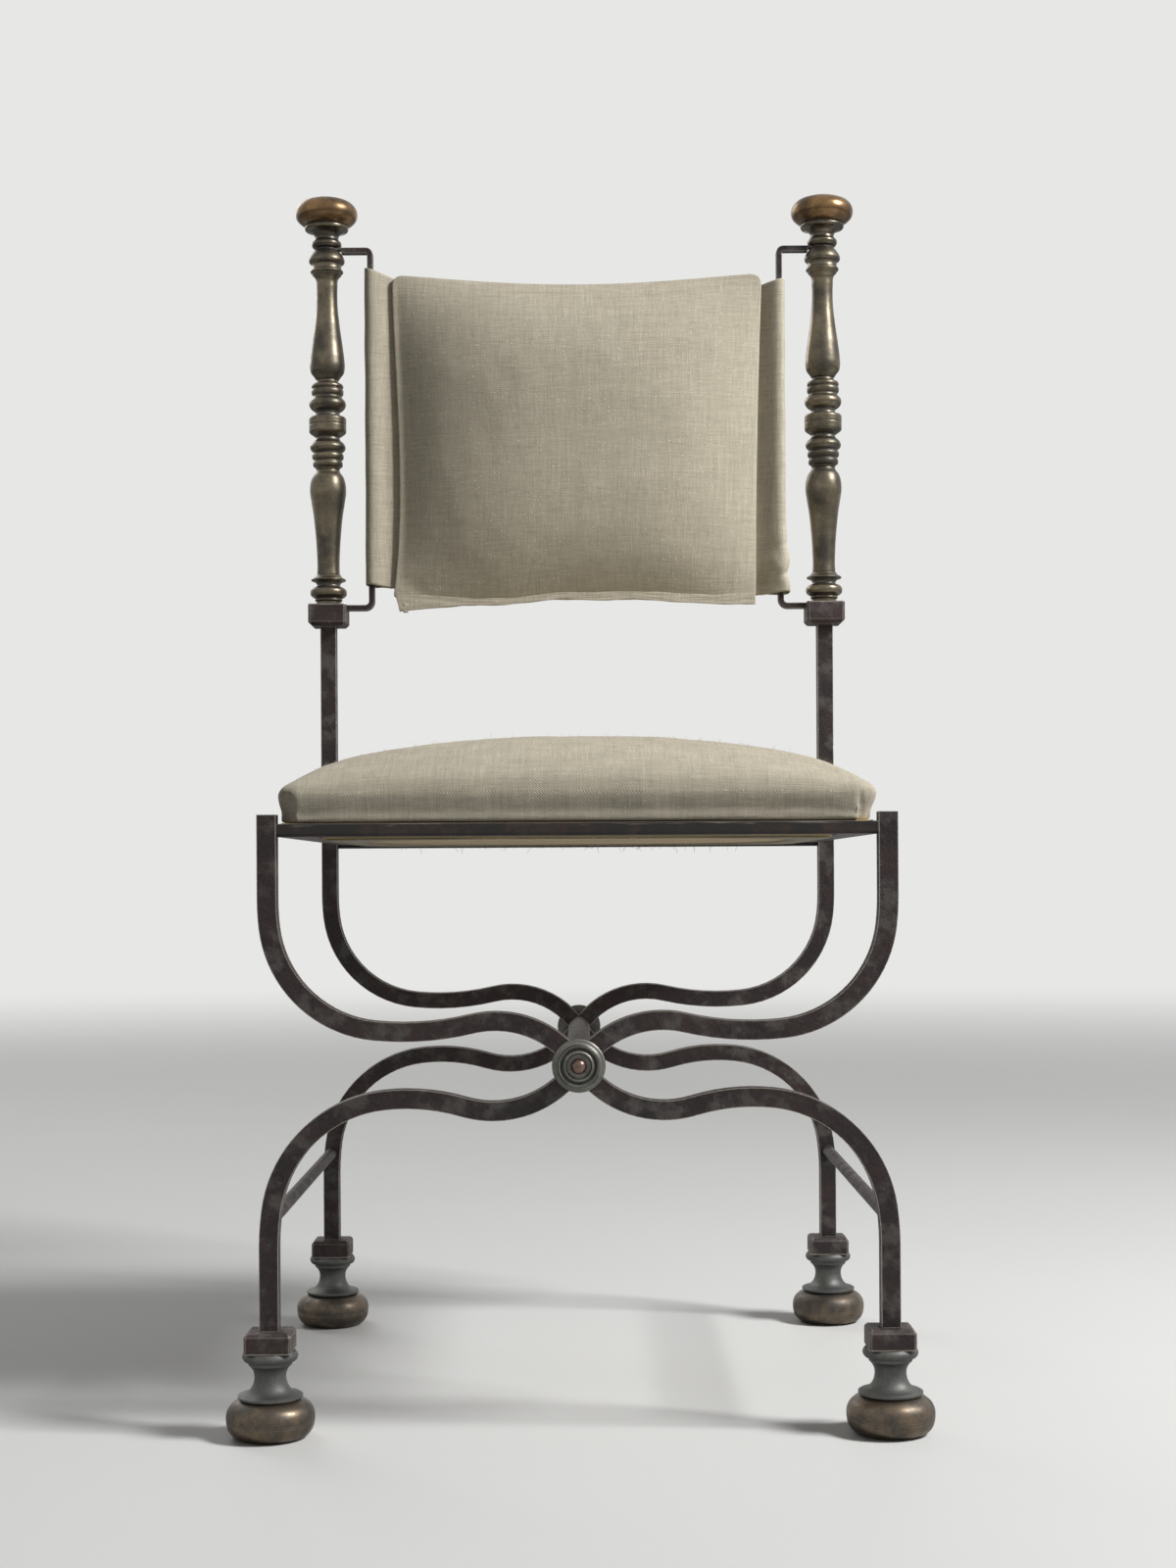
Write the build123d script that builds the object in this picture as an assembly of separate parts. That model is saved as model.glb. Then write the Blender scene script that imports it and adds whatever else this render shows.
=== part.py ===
"""Savonarola (curule) chair with a wrought-iron X frame, turned brass posts and linen upholstery.

Millimetres, +Z up. The origin is on the floor under the middle of the four feet, and -Y is the front.
Each X is two S-curved square bars, halved into each other at the crossing and nutted on one axle.
The rear bars run on up as the back posts. Turned pieces are threaded over the round end of each bar.
"""

import os
from math import atan2, cos, hypot, radians, sin, tan

from build123d import *

os.makedirs("parts", exist_ok=True)

# ---------------------------------------------------------------------------------------------
# Driving dimensions
# ---------------------------------------------------------------------------------------------

# The square bar of the X frames
BAR_WIDTH = 13.5            # in the front view
BAR_DEPTH = 13.0            # front to back
UPRIGHT_X = 217.0           # chair's centre plane to the middle of an upright or leg
FRAME_Y = 200.0             # chair's centre to the middle of the front or the rear X
UPRIGHT_RISE = 6.5          # front uprights above the seat rails

# The S curve, from the crossing outwards: where it is, how steep, and (radius, heading it ends on)
CROSS_Z = 258.8
CROSS_SLOPE = 51.5
CROSS_STRAIGHT = 6.0        # straight stretch each side of the pin, so that the halving is square
HUMP_RADIUS = 70.0          # upper arm: over the hump beside the boss
HUMP_HEADING = -13.2
VALLEY_HEADING = 6.0        # then through a long shallow valley, whose radius closes the reach
CORNER_RADIUS = 82.0        # then up round the corner
CORNER_HEADING = 83.6
SPRING_RADIUS = 177.0       # and gently into the vertical
DIP_RADIUS = 71.7           # lower arm: through the dip beside the boss
DIP_HEADING = 16.6
CREST_HEADING = -6.3        # then over a long crest, whose radius closes the reach
KNEE_RADIUS = 89.0          # then down round the knee
KNEE_HEADING = -82.0
ANKLE_RADIUS = 193.0        # and gently into the leg

# Axle, bosses and nuts at the crossings
AXLE_DIAMETER = 18.5
AXLE_TENON_DIAMETER = 7.0
BOSS_DIAMETER = 37.5
BOSS_HEIGHT = 8.0
BOSS_RIM_HEIGHT = 3.0
BOSS_BAND_RADIUS = 14.2     # crest of the broad turned band
BOSS_BAND_HEIGHT = 7.2
BOSS_EYE_RADIUS = 10.8      # outside of the small inner ring
BOSS_RECESS_RADIUS = 8.6    # recess that the nut sits in
BOSS_RECESS_DEPTH = 2.6
NUT_DIAMETER = 11.0
NUT_SKIRT = 2.0
NUT_DOME = 4.2
NUT_GRIP = 3.6              # length of the axle's end inside the nut

# Feet
BLOCK_SIDE = 33.0           # square iron block on the ankle
BLOCK_HEIGHT = 14.5
BLOCK_CHAMFER = 2.2
FOOT_HEIGHT = 60.0          # floor to the underside of the ankle block
BUN_HEIGHT = 27.0
BUN_DIAMETER = 62.0
BUN_BASE_DIAMETER = 44.0
BUN_TOP_DIAMETER = 42.0
BUN_WIDEST_Z = 15.0
FOOT_PLATE_DIAMETER = 45.4  # plate at the bottom of the neck, on the bun
FOOT_PLATE_HEIGHT = 3.4
NECK_DIAMETER = 22.5
NECK_WAIST_Z = 40.5
NECK_FILLET_DIAMETER = 30.6
NECK_FILLET_Z = 51.0
NECK_FILLET_HEIGHT = 2.0
FOOT_COLLAR_DIAMETER = 39.0
SPIGOT_DIAMETER = 8.0       # round end of each bar, inside the turned pieces
SPIGOT_FOOT_DEPTH = 18.0    # how far it goes into the bun

# Side stretchers, front leg to rear leg
STRETCHER_Z = 150.0
STRETCHER_DIAMETER = 9.6
STRETCHER_TENON_DIAMETER = 6.0
STRETCHER_TENON_LENGTH = 6.0

# Angle-iron seat frame
RAIL_BOTTOM_Z = 419.4
RAIL_THICKNESS = 3.0
RAIL_BEVEL = 2.2            # lower outer corner, front rail and rear rail
END_RAIL_FLANGE = 20.0      # front and rear rails, front to back
SIDE_RAIL_FLANGE = 24.0
REAR_RAIL_DROP = 3.4        # the rear rail is a deeper section

# Loose seat
BOARD_THICKNESS = 6.5
BOARD_CLEARANCE = 0.5       # board to the rails' upstands
SEAT_REST_GAP = 0.3         # board to the flanges it rests on
BOARD_PROUD = 0.7           # board above the rails, so that the overhanging pad clears them
PAD_CROWN_HEIGHT = 70.0     # board to the top of the crown
PAD_SIDE_BULGE = 1.75       # past the uprights' inner faces, between them
PAD_FRONT_OVERHANG = 2.5    # past the front and rear rails
PAD_NOTCH_CLEARANCE = 1.2   # pad to the uprights, at its cut corners
PAD_DOME_RADIUS = 1000.0
PAD_EDGE_ROUND = 16.0

# Back posts: a square block, then turned pieces threaded over the round end of the rear bar
POST_BLOCK_Z = 610.0        # underside, from the floor
POST_BLOCK_HEIGHT = 19.0
POST_BLOCK_SIDE = 33.0
POST_BLOCK_CHAMFER = 3.0
BASE_RING_HEIGHT = 26.5
BASE_RING_DIAMETER = 32.4
LOWER_BALUSTER_HEIGHT = 92.0
LOWER_BALUSTER_DIAMETER = 32.0
RING_STACK_HEIGHT = 78.5
RING_STACK_DIAMETER = 33.0
UPPER_BALUSTER_HEIGHT = 91.5
UPPER_BALUSTER_DIAMETER = 31.4
TOP_COLLAR_HEIGHT = 22.0
TOP_COLLAR_DIAMETER = 31.2
FINIAL_HEIGHT = 43.0
FINIAL_DIAMETER = 54.0
SPIGOT_FINIAL_DEPTH = 24.0  # how far the rod goes into the finial

# Flat iron straps that carry the back
STRAP_THICKNESS = 5.0
STRAP_DEPTH = 8.0
STRAP_INSET = 38.0          # post axis to the middle of the strap's upright
STRAP_BEND_RADIUS = 6.0     # lower bend, on the middle line
STRAP_TOP_BEND_RADIUS = 3.6  # the upper one is forged nearly square
STRAP_EYE_DIAMETER = 20.0
UPPER_EYE_THICKNESS = 2.0   # the upper eye is forged thin, flush with the arm's top
UPPER_EYE_REACH = 13.0      # post axis to where the upper arm has its full thickness

# Upholstered back
SLING_LIFT = 14.5           # lower arm of the strap to the bottom of the sleeve
SLING_DROP = 16.5           # upper arm of the strap to the top of the sleeve
SLING_PANEL = 3.6           # thickness of the panel, in front of the straps
SLING_CLOTH = 1.7
SLEEVE_CLEARANCE = 0.4      # inside of the sleeve to the strap
SLEEVE_WIDTH = 15.0         # outside, along the chair's width
CUSHION_WIDTH = 317.0
CUSHION_HANG = 18.5         # how far the cushion hangs below the sling
CUSHION_TOP_DROP = 5.5      # top of the cushion below the top of the sling
CUSHION_THICKNESS = 34.0
CUSHION_EDGE_ROUND = 14.0

# Fits
BORE_CLEARANCE = 0.1        # radial, turned pieces over spigots and tenons in their holes

# ---------------------------------------------------------------------------------------------
# Sizes that follow
# ---------------------------------------------------------------------------------------------

INNER_X = UPRIGHT_X - BAR_WIDTH / 2             # inner face of an upright
BAR_OUTER_Y = FRAME_Y + BAR_DEPTH / 2           # outward face of the front or rear X
BAR_INNER_Y = FRAME_Y - BAR_DEPTH / 2
LEG_BOTTOM_Z = FOOT_HEIGHT + BLOCK_HEIGHT
SPIGOT_BORE = SPIGOT_DIAMETER / 2 + BORE_CLEARANCE
TENON_BORE = AXLE_TENON_DIAMETER / 2 + BORE_CLEARANCE
FLANGE_TOP_Z = RAIL_BOTTOM_Z + RAIL_THICKNESS
BOARD_BOTTOM_Z = FLANGE_TOP_Z + SEAT_REST_GAP
BOARD_TOP_Z = BOARD_BOTTOM_Z + BOARD_THICKNESS
RAIL_TOP_Z = BOARD_TOP_Z - BOARD_PROUD
FRONT_UPRIGHT_TOP = RAIL_TOP_Z + UPRIGHT_RISE

POST_BLOCK_TOP = POST_BLOCK_Z + POST_BLOCK_HEIGHT
BASE_RING_Z = POST_BLOCK_TOP
LOWER_BALUSTER_Z = BASE_RING_Z + BASE_RING_HEIGHT
RING_STACK_Z = LOWER_BALUSTER_Z + LOWER_BALUSTER_HEIGHT
UPPER_BALUSTER_Z = RING_STACK_Z + RING_STACK_HEIGHT
TOP_COLLAR_Z = UPPER_BALUSTER_Z + UPPER_BALUSTER_HEIGHT
TOP_COLLAR_TOP = TOP_COLLAR_Z + TOP_COLLAR_HEIGHT
FINIAL_Z = TOP_COLLAR_TOP + UPPER_EYE_THICKNESS
UPPER_ARM_Z = FINIAL_Z - STRAP_THICKNESS

STRAP_X = UPRIGHT_X - STRAP_INSET
SLOT_FRONT_Y = FRAME_Y - STRAP_DEPTH / 2 - SLEEVE_CLEARANCE
SLING_FRONT_Y = SLOT_FRONT_Y - SLING_PANEL
SLING_BOTTOM_Z = BASE_RING_Z + SLING_LIFT
SLING_TOP_Z = UPPER_ARM_Z - SLING_DROP

SIDES = {"left": -1, "right": 1}
ENDS = {"front": -1, "rear": 1}


# ---------------------------------------------------------------------------------------------
# Helpers
# ---------------------------------------------------------------------------------------------


def arc_height(start, end, kind):
    """Height of an arc between two outline points that is level or upright at its outer end."""
    across, up = abs(end[0] - start[0]), abs(end[1] - start[1])
    lean = atan2(up, across) if kind == "crown" else atan2(across, up)
    return hypot(across, up) / 2 * tan(lean / 2)


def bow(start, end, height):
    """Curve between two points of an outline that runs upwards, bulging outwards by height."""
    across, up = end[0] - start[0], end[1] - start[1]
    chord = hypot(across, up)
    reach = 2 * height / chord
    middle = ((start[0] + end[0]) / 2 + reach * up, (start[1] + end[1]) / 2 - reach * across)
    return Bezier(start, middle, end)


def turned(bore, *steps):
    """A lathe-turned piece about Z: (radius, z) points up the outside, with an optional third value.

    The third value is the height of a curve to that point: over 0 it is a bead, under 0 a cove.
    "swell" is a bead that is upright at its widest, and "crown" is a dome that ends level on the axis.
    """
    outline = []
    last = steps[0]
    for step in steps[1:]:
        start, end = last[:2], step[:2]
        if len(step) == 2:
            outline.append(Line(start, end))
        else:
            height = arc_height(start, end, step[2]) if isinstance(step[2], str) else step[2]
            outline.append(bow(start, end, height))
        last = step
    bottom, top = steps[0], last
    inside = [(bore, top[1]), (bore, bottom[1]), bottom[:2]]
    if top[0] > bore:
        inside.insert(0, top[:2])
    outline.append(Polyline(inside))
    face = Plane.XZ * make_face(outline)
    return revolve(face, Axis.Z)


def post_turning(z, height, diameter, *pattern, bore=SPIGOT_BORE):
    """One turned piece of a post, standing on z.

    The turner's pattern gives each point as (radius, height) in hundredths of the piece's largest
    radius and of its height. An arc's height, if there is one, is in hundredths of that radius too.
    """
    radius_unit, height_unit = diameter / 200, height / 100
    steps = []
    for point in pattern:
        step = (point[0] * radius_unit, z + point[1] * height_unit)
        if len(point) == 3:
            step += (point[2] if isinstance(point[2], str) else point[2] * radius_unit,)
        steps.append(step)
    return turned(bore, *steps)


def blind_bore(radius, from_z, to_z):
    """A round hole or rod on Z between two heights."""
    return Pos(0, 0, (from_z + to_z) / 2) * Cylinder(radius, abs(to_z - from_z))


def facing(end, solid):
    """Stand a piece made on Z against the outward face of the front or the rear X, at the crossing."""
    tilt = 90 if end == "front" else -90
    return Pos(0, ENDS[end] * BAR_OUTER_Y, CROSS_Z) * Rot(tilt, 0, 0) * solid


# ---------------------------------------------------------------------------------------------
# The S-curved bars
# ---------------------------------------------------------------------------------------------


def arc_run(radius, heading, next_heading):
    """How far sideways a tangent arc goes while it turns from one heading to the next."""
    turn = 1 if next_heading > heading else -1
    return turn * radius * (sin(radians(next_heading)) - sin(radians(heading)))


def arm(start_heading, bends, end_z):
    """Centreline from the crossing out to the right-hand upright or leg, and along it to end_z.

    Each bend is (radius, heading it ends on). One radius is None: it takes what is left of the reach.
    """
    reach = UPRIGHT_X - CROSS_STRAIGHT * cos(radians(start_heading))
    heading = start_heading
    for radius, next_heading in bends:
        if radius is None:
            open_run = arc_run(1, heading, next_heading)
        else:
            reach -= arc_run(radius, heading, next_heading)
        heading = next_heading
    closing_radius = reach / open_run

    heading = start_heading
    direction = (cos(radians(heading)), sin(radians(heading)))
    crossing = (0, CROSS_Z)
    straight_end = (CROSS_STRAIGHT * direction[0], CROSS_Z + CROSS_STRAIGHT * direction[1])
    line = [Line(crossing, straight_end)]
    for radius, next_heading in bends:
        bend = JernArc(
            start=line[-1] @ 1,
            tangent=line[-1] % 1,
            radius=closing_radius if radius is None else radius,
            arc_size=next_heading - heading,
        )
        line.append(bend)
        heading = next_heading
    corner_end = line[-1] @ 1
    line.append(Line(corner_end, (corner_end.X, end_z)))
    return line


def upper_arm(top_z):
    bends = [
        (HUMP_RADIUS, HUMP_HEADING),
        (None, VALLEY_HEADING),
        (CORNER_RADIUS, CORNER_HEADING),
        (SPRING_RADIUS, 90),
    ]
    return arm(CROSS_SLOPE, bends, top_z)


def lower_arm():
    bends = [
        (DIP_RADIUS, DIP_HEADING),
        (None, CREST_HEADING),
        (KNEE_RADIUS, KNEE_HEADING),
        (ANKLE_RADIUS, -90),
    ]
    return arm(-CROSS_SLOPE, bends, LEG_BOTTOM_Z)


def s_bar(side, end):
    """A bar whose leg is on the given side; its upper arm crosses over to the other side."""
    top_z = FRONT_UPRIGHT_TOP if end == "front" else POST_BLOCK_Z
    upper = trace(upper_arm(top_z), BAR_WIDTH)
    lower = trace(lower_arm(), BAR_WIDTH)
    elevation = mirror(upper, Plane.YZ) + lower if side == "right" else upper + mirror(lower, Plane.YZ)
    bar = extrude(Plane.XZ * elevation, BAR_DEPTH / 2, both=True)
    return Pos(0, ENDS[end] * FRAME_Y, 0) * bar


def halved_pair(end):
    """The two bars of one X, each with half its depth cut away where the other passes."""
    left, right = s_bar("left", end), s_bar("right", end)
    lap = left & right
    half = Box(4 * BAR_WIDTH, BAR_DEPTH / 2, 4 * BAR_WIDTH)
    front_half = Pos(0, ENDS[end] * FRAME_Y - BAR_DEPTH / 4, CROSS_Z) * half
    rear_half = Pos(0, ENDS[end] * FRAME_Y + BAR_DEPTH / 4, CROSS_Z) * half
    pin_hole = Pos(0, ENDS[end] * FRAME_Y, CROSS_Z) * Rot(90, 0, 0) * Cylinder(TENON_BORE, 2 * BAR_DEPTH)
    return {
        "left": left - (lap & rear_half) - pin_hole,
        "right": right - (lap & front_half) - pin_hole,
    }


def leg_bar(bar, side, end):
    """Finish a halved bar: round spigots on its ends and the stretcher's socket in its leg."""
    y = ENDS[end] * FRAME_Y
    foot_end = BUN_HEIGHT - SPIGOT_FOOT_DEPTH
    lower_spigot = blind_bore(SPIGOT_DIAMETER / 2, foot_end, LEG_BOTTOM_Z)
    bar += Pos(SIDES[side] * UPRIGHT_X, y, 0) * lower_spigot
    if end == "rear":
        upper_spigot = blind_bore(SPIGOT_DIAMETER / 2, POST_BLOCK_Z, FINIAL_Z + SPIGOT_FINIAL_DEPTH)
        bar += Pos(-SIDES[side] * UPRIGHT_X, y, 0) * upper_spigot
    socket_radius = STRETCHER_TENON_DIAMETER / 2 + BORE_CLEARANCE
    socket_depth = STRETCHER_TENON_LENGTH + BORE_CLEARANCE
    socket = Rot(90, 0, 0) * Cylinder(socket_radius, 2 * socket_depth)
    bar -= Pos(SIDES[side] * UPRIGHT_X, ENDS[end] * BAR_INNER_Y, STRETCHER_Z) * socket
    return bar


# ---------------------------------------------------------------------------------------------
# Axle, bosses, nuts and stretchers
# ---------------------------------------------------------------------------------------------


def centre_axle():
    """Round bar between the two crossings, with a reduced end through each X, boss and nut."""
    tenon_end = BAR_OUTER_Y + BOSS_HEIGHT - BOSS_RECESS_DEPTH + NUT_GRIP
    body = Cylinder(AXLE_DIAMETER / 2, 2 * BAR_INNER_Y)
    tenons = Cylinder(AXLE_TENON_DIAMETER / 2, 2 * tenon_end)
    return Pos(0, 0, CROSS_Z) * Rot(90, 0, 0) * (body + tenons)


def boss(end):
    rim_radius = BOSS_DIAMETER / 2
    cove_foot = BOSS_BAND_RADIUS + 2.6
    groove_radius = BOSS_EYE_RADIUS + 0.8
    groove_height = BOSS_BAND_HEIGHT - 2.0
    recess_height = BOSS_HEIGHT - BOSS_RECESS_DEPTH
    disc = turned(
        TENON_BORE,
        (rim_radius, 0),
        (rim_radius, BOSS_RIM_HEIGHT - 0.8),
        (rim_radius - 1.2, BOSS_RIM_HEIGHT),
        (cove_foot, BOSS_RIM_HEIGHT),
        (BOSS_BAND_RADIUS, BOSS_BAND_HEIGHT, -0.9),
        (groove_radius, groove_height),
        (BOSS_EYE_RADIUS, groove_height),
        (BOSS_EYE_RADIUS, BOSS_HEIGHT - 0.8),
        (BOSS_RECESS_RADIUS + 0.6, BOSS_HEIGHT),
        (BOSS_RECESS_RADIUS, recess_height),
    )
    return facing(end, disc)


def cap_nut(end):
    """Domed nut over the end of the axle, seated in the boss's recess."""
    radius = NUT_DIAMETER / 2
    shell = turned(0, (radius, 0), (radius, NUT_SKIRT), (0, NUT_SKIRT + NUT_DOME, "crown"))
    nut = shell - blind_bore(TENON_BORE, -1, NUT_GRIP + BORE_CLEARANCE)
    return facing(end, Pos(0, 0, BOSS_HEIGHT - BOSS_RECESS_DEPTH) * nut)


def stretcher(side):
    body = Cylinder(STRETCHER_DIAMETER / 2, 2 * BAR_INNER_Y)
    tenons = Cylinder(STRETCHER_TENON_DIAMETER / 2, 2 * (BAR_INNER_Y + STRETCHER_TENON_LENGTH))
    return Pos(SIDES[side] * UPRIGHT_X, 0, STRETCHER_Z) * Rot(90, 0, 0) * (body + tenons)


# ---------------------------------------------------------------------------------------------
# Feet
# ---------------------------------------------------------------------------------------------


def square_block(side_length, bottom, top, chamfer_size, chamfered_end):
    """Square block on Z with a spigot hole, one end chamfered and its corners eased."""
    block = Pos(0, 0, (bottom + top) / 2) * Box(side_length, side_length, top - bottom)
    block = chamfer(block.edges().filter_by(Axis.Z), chamfer_size * 0.6)
    face = block.faces().sort_by(Axis.Z)[0 if chamfered_end == "bottom" else -1]
    block = chamfer(face.edges(), chamfer_size)
    return block - blind_bore(SPIGOT_BORE, bottom - 1, top + 1)


def at_leg(side, end, solid):
    return Pos(SIDES[side] * UPRIGHT_X, ENDS[end] * FRAME_Y, 0) * solid


def ankle_block():
    return square_block(BLOCK_SIDE, FOOT_HEIGHT, LEG_BOTTOM_Z, BLOCK_CHAMFER, "top")


def foot_neck():
    plate = FOOT_PLATE_DIAMETER / 2
    plate_top = BUN_HEIGHT + FOOT_PLATE_HEIGHT
    collar_bottom = NECK_FILLET_Z + NECK_FILLET_HEIGHT
    collar_edge = FOOT_COLLAR_DIAMETER / 2 - 1.6
    return turned(
        SPIGOT_BORE,
        (BUN_TOP_DIAMETER / 2, BUN_HEIGHT),
        (plate, BUN_HEIGHT + 1.2),
        (plate, plate_top - 0.8),
        (plate - 1.4, plate_top),
        (NECK_DIAMETER / 2, NECK_WAIST_Z, -2.6),
        (NECK_FILLET_DIAMETER / 2, NECK_FILLET_Z, -1.6),
        (NECK_FILLET_DIAMETER / 2, collar_bottom),
        (collar_edge, collar_bottom + 0.6),
        (collar_edge, FOOT_HEIGHT, 1.6),
    )


def foot_bun():
    ball = turned(
        0,
        (BUN_BASE_DIAMETER / 2, 0),
        (BUN_DIAMETER / 2, BUN_WIDEST_Z, "swell"),
        (BUN_TOP_DIAMETER / 2, BUN_HEIGHT, "swell"),
    )
    socket_bottom = BUN_HEIGHT - SPIGOT_FOOT_DEPTH - BORE_CLEARANCE
    return ball - blind_bore(SPIGOT_BORE, socket_bottom, BUN_HEIGHT + 1)


# ---------------------------------------------------------------------------------------------
# Seat frame
# ---------------------------------------------------------------------------------------------


def end_rail(end):
    """Angle iron between the front or rear uprights, flange inwards, upstand at the outside."""
    drop = REAR_RAIL_DROP if end == "rear" else 0
    bottom = RAIL_BOTTOM_Z - drop
    inner = BAR_OUTER_Y - END_RAIL_FLANGE
    upstand = BAR_OUTER_Y - RAIL_THICKNESS
    section = make_face(
        Polyline(
            (inner, RAIL_BOTTOM_Z),
            (upstand, RAIL_BOTTOM_Z),
            (upstand, bottom),
            (BAR_OUTER_Y - RAIL_BEVEL, bottom),
            (BAR_OUTER_Y, bottom + RAIL_BEVEL),
            (BAR_OUTER_Y, RAIL_TOP_Z),
            (upstand, RAIL_TOP_Z),
            (upstand, FLANGE_TOP_Z),
            (inner, FLANGE_TOP_Z),
            close=True,
        )
        if drop
        else Polyline(
            (inner, RAIL_BOTTOM_Z),
            (BAR_OUTER_Y - RAIL_BEVEL, RAIL_BOTTOM_Z),
            (BAR_OUTER_Y, RAIL_BOTTOM_Z + RAIL_BEVEL),
            (BAR_OUTER_Y, RAIL_TOP_Z),
            (upstand, RAIL_TOP_Z),
            (upstand, FLANGE_TOP_Z),
            (inner, FLANGE_TOP_Z),
            close=True,
        )
    )
    rail = extrude(Plane.YZ * section, INNER_X, both=True)
    return rail if end == "rear" else mirror(rail, Plane.XZ)


def side_rail(side):
    """Angle iron from front rail to rear rail: its upstand is coped over their flanges."""
    flange_end = BAR_OUTER_Y - END_RAIL_FLANGE
    upstand_end = BAR_OUTER_Y - RAIL_THICKNESS
    flange = Pos(INNER_X - SIDE_RAIL_FLANGE / 2, 0, RAIL_BOTTOM_Z + RAIL_THICKNESS / 2) * Box(
        SIDE_RAIL_FLANGE, 2 * flange_end, RAIL_THICKNESS
    )
    upstand_height = RAIL_TOP_Z - FLANGE_TOP_Z
    upstand = Pos(INNER_X - RAIL_THICKNESS / 2, 0, FLANGE_TOP_Z + upstand_height / 2) * Box(
        RAIL_THICKNESS, 2 * upstand_end, upstand_height
    )
    rail = flange + upstand
    return rail if side == "right" else mirror(rail, Plane.YZ)


# ---------------------------------------------------------------------------------------------
# Loose seat
# ---------------------------------------------------------------------------------------------


def seat_board():
    half_width = INNER_X - RAIL_THICKNESS - BOARD_CLEARANCE
    half_depth = BAR_OUTER_Y - RAIL_THICKNESS - BOARD_CLEARANCE
    board = Box(2 * half_width, 2 * half_depth, BOARD_THICKNESS)
    return Pos(0, 0, (BOARD_BOTTOM_Z + BOARD_TOP_Z) / 2) * board


def seat_pad():
    """Domed pad on the board. It overhangs the rails and is cut back round the four uprights."""
    half_width = INNER_X + PAD_SIDE_BULGE
    depth = 2 * (BAR_OUTER_Y + PAD_FRONT_OVERHANG)
    middle_z = BOARD_TOP_Z + PAD_CROWN_HEIGHT / 2
    pad = Pos(0, 0, middle_z) * Box(2 * half_width, depth, PAD_CROWN_HEIGHT)
    pad &= Pos(0, 0, BOARD_TOP_Z + PAD_CROWN_HEIGHT - PAD_DOME_RADIUS) * Sphere(PAD_DOME_RADIUS)
    pad = fillet(pad.faces().sort_by(Axis.Z)[-1].edges(), PAD_EDGE_ROUND)
    notch_x = PAD_SIDE_BULGE + PAD_NOTCH_CLEARANCE
    notch_y = BAR_OUTER_Y + PAD_FRONT_OVERHANG - BAR_INNER_Y + PAD_NOTCH_CLEARANCE
    for x in (-1, 1):
        for y in (-1, 1):
            corner = Pos(x * half_width, y * depth / 2, middle_z)
            pad -= corner * Box(2 * notch_x, 2 * notch_y, 2 * PAD_CROWN_HEIGHT)
    return pad


# ---------------------------------------------------------------------------------------------
# Back posts
# ---------------------------------------------------------------------------------------------


def post_block(side):
    """Square block with the strap's lower eye let in flush with its top."""
    block = square_block(POST_BLOCK_SIDE, POST_BLOCK_Z, POST_BLOCK_TOP, POST_BLOCK_CHAMFER, "bottom")
    inlet_z = POST_BLOCK_TOP - STRAP_THICKNESS
    block -= blind_bore(STRAP_EYE_DIAMETER / 2 + BORE_CLEARANCE, inlet_z, POST_BLOCK_TOP + 1)
    slot = Box(POST_BLOCK_SIDE, STRAP_DEPTH + 2 * BORE_CLEARANCE, STRAP_THICKNESS + 1)
    return block - Pos(-SIDES[side] * POST_BLOCK_SIDE / 2, 0, POST_BLOCK_TOP + (1 - STRAP_THICKNESS) / 2) * slot


def post_base_ring():
    return post_turning(
        BASE_RING_Z,
        BASE_RING_HEIGHT,
        BASE_RING_DIAMETER,
        (65, 0),
        (67, 15),
        (63, 20),
        (99, 41, 5),
        (78, 59, 6),
        (63, 64),
        (63, 75),
        (91, 81),
        (90, 86),
        (66, 100, -5),
    )


def post_lower_baluster():
    return post_turning(
        LOWER_BALUSTER_Z,
        LOWER_BALUSTER_HEIGHT,
        LOWER_BALUSTER_DIAMETER,
        (63, 0),
        (61, 9),
        (97, 75, -8),
        (100, 82),
        (66, 98, 10),
        (63, 100),
    )


def post_ring_stack():
    return post_turning(
        RING_STACK_Z,
        RING_STACK_HEIGHT,
        RING_STACK_DIAMETER,
        (62, 0),
        (77, 5),
        (77, 9),
        (70, 10.5),
        (84, 13),
        (84, 17),
        (72, 19.5),
        (93, 23),
        (93, 28),
        (64, 34),
        (64, 36.5),
        (98, 42),
        (98, 57.5),
        (66, 60.5),
        (64, 63.5),
        (97, 71),
        (94, 76),
        (76, 81),
        (85, 84),
        (85, 88),
        (76, 90),
        (84, 92),
        (80, 95),
        (58, 97.5),
        (56, 100),
    )


def post_upper_baluster():
    return post_turning(
        UPPER_BALUSTER_Z,
        UPPER_BALUSTER_HEIGHT,
        UPPER_BALUSTER_DIAMETER,
        (59, 0),
        (96, 10, 8),
        (97, 16),
        (74, 47, 3),
        (58, 73, -3),
        (59, 88),
        (78, 100),
    )


def post_top_collar():
    return post_turning(
        TOP_COLLAR_Z,
        TOP_COLLAR_HEIGHT,
        TOP_COLLAR_DIAMETER,
        (79, 0),
        (80, 7),
        (91, 12),
        (91, 19),
        (82, 25),
        (82, 42),
        (95, 49),
        (100, 59),
        (92, 74),
        (64, 100),
    )


def finial():
    """Mushroom finial, screwed down over the end of the rod."""
    shape = post_turning(
        FINIAL_Z,
        FINIAL_HEIGHT,
        FINIAL_DIAMETER,
        (43, 0),
        (47, 4),
        (47, 12),
        (40, 16),
        (40, 21),
        (57, 34, -3),
        (69, 36),
        (70, 42),
        (66, 44),
        (90, 53),
        (100, 69, "swell"),
        (82, 88, "swell"),
        (0, 100, "crown"),
        bore=0,
    )
    return shape - blind_bore(SPIGOT_BORE, FINIAL_Z - 1, FINIAL_Z + SPIGOT_FINIAL_DEPTH + BORE_CLEARANCE)


def at_post(side, solid):
    return at_leg(side, "rear", solid)


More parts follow.
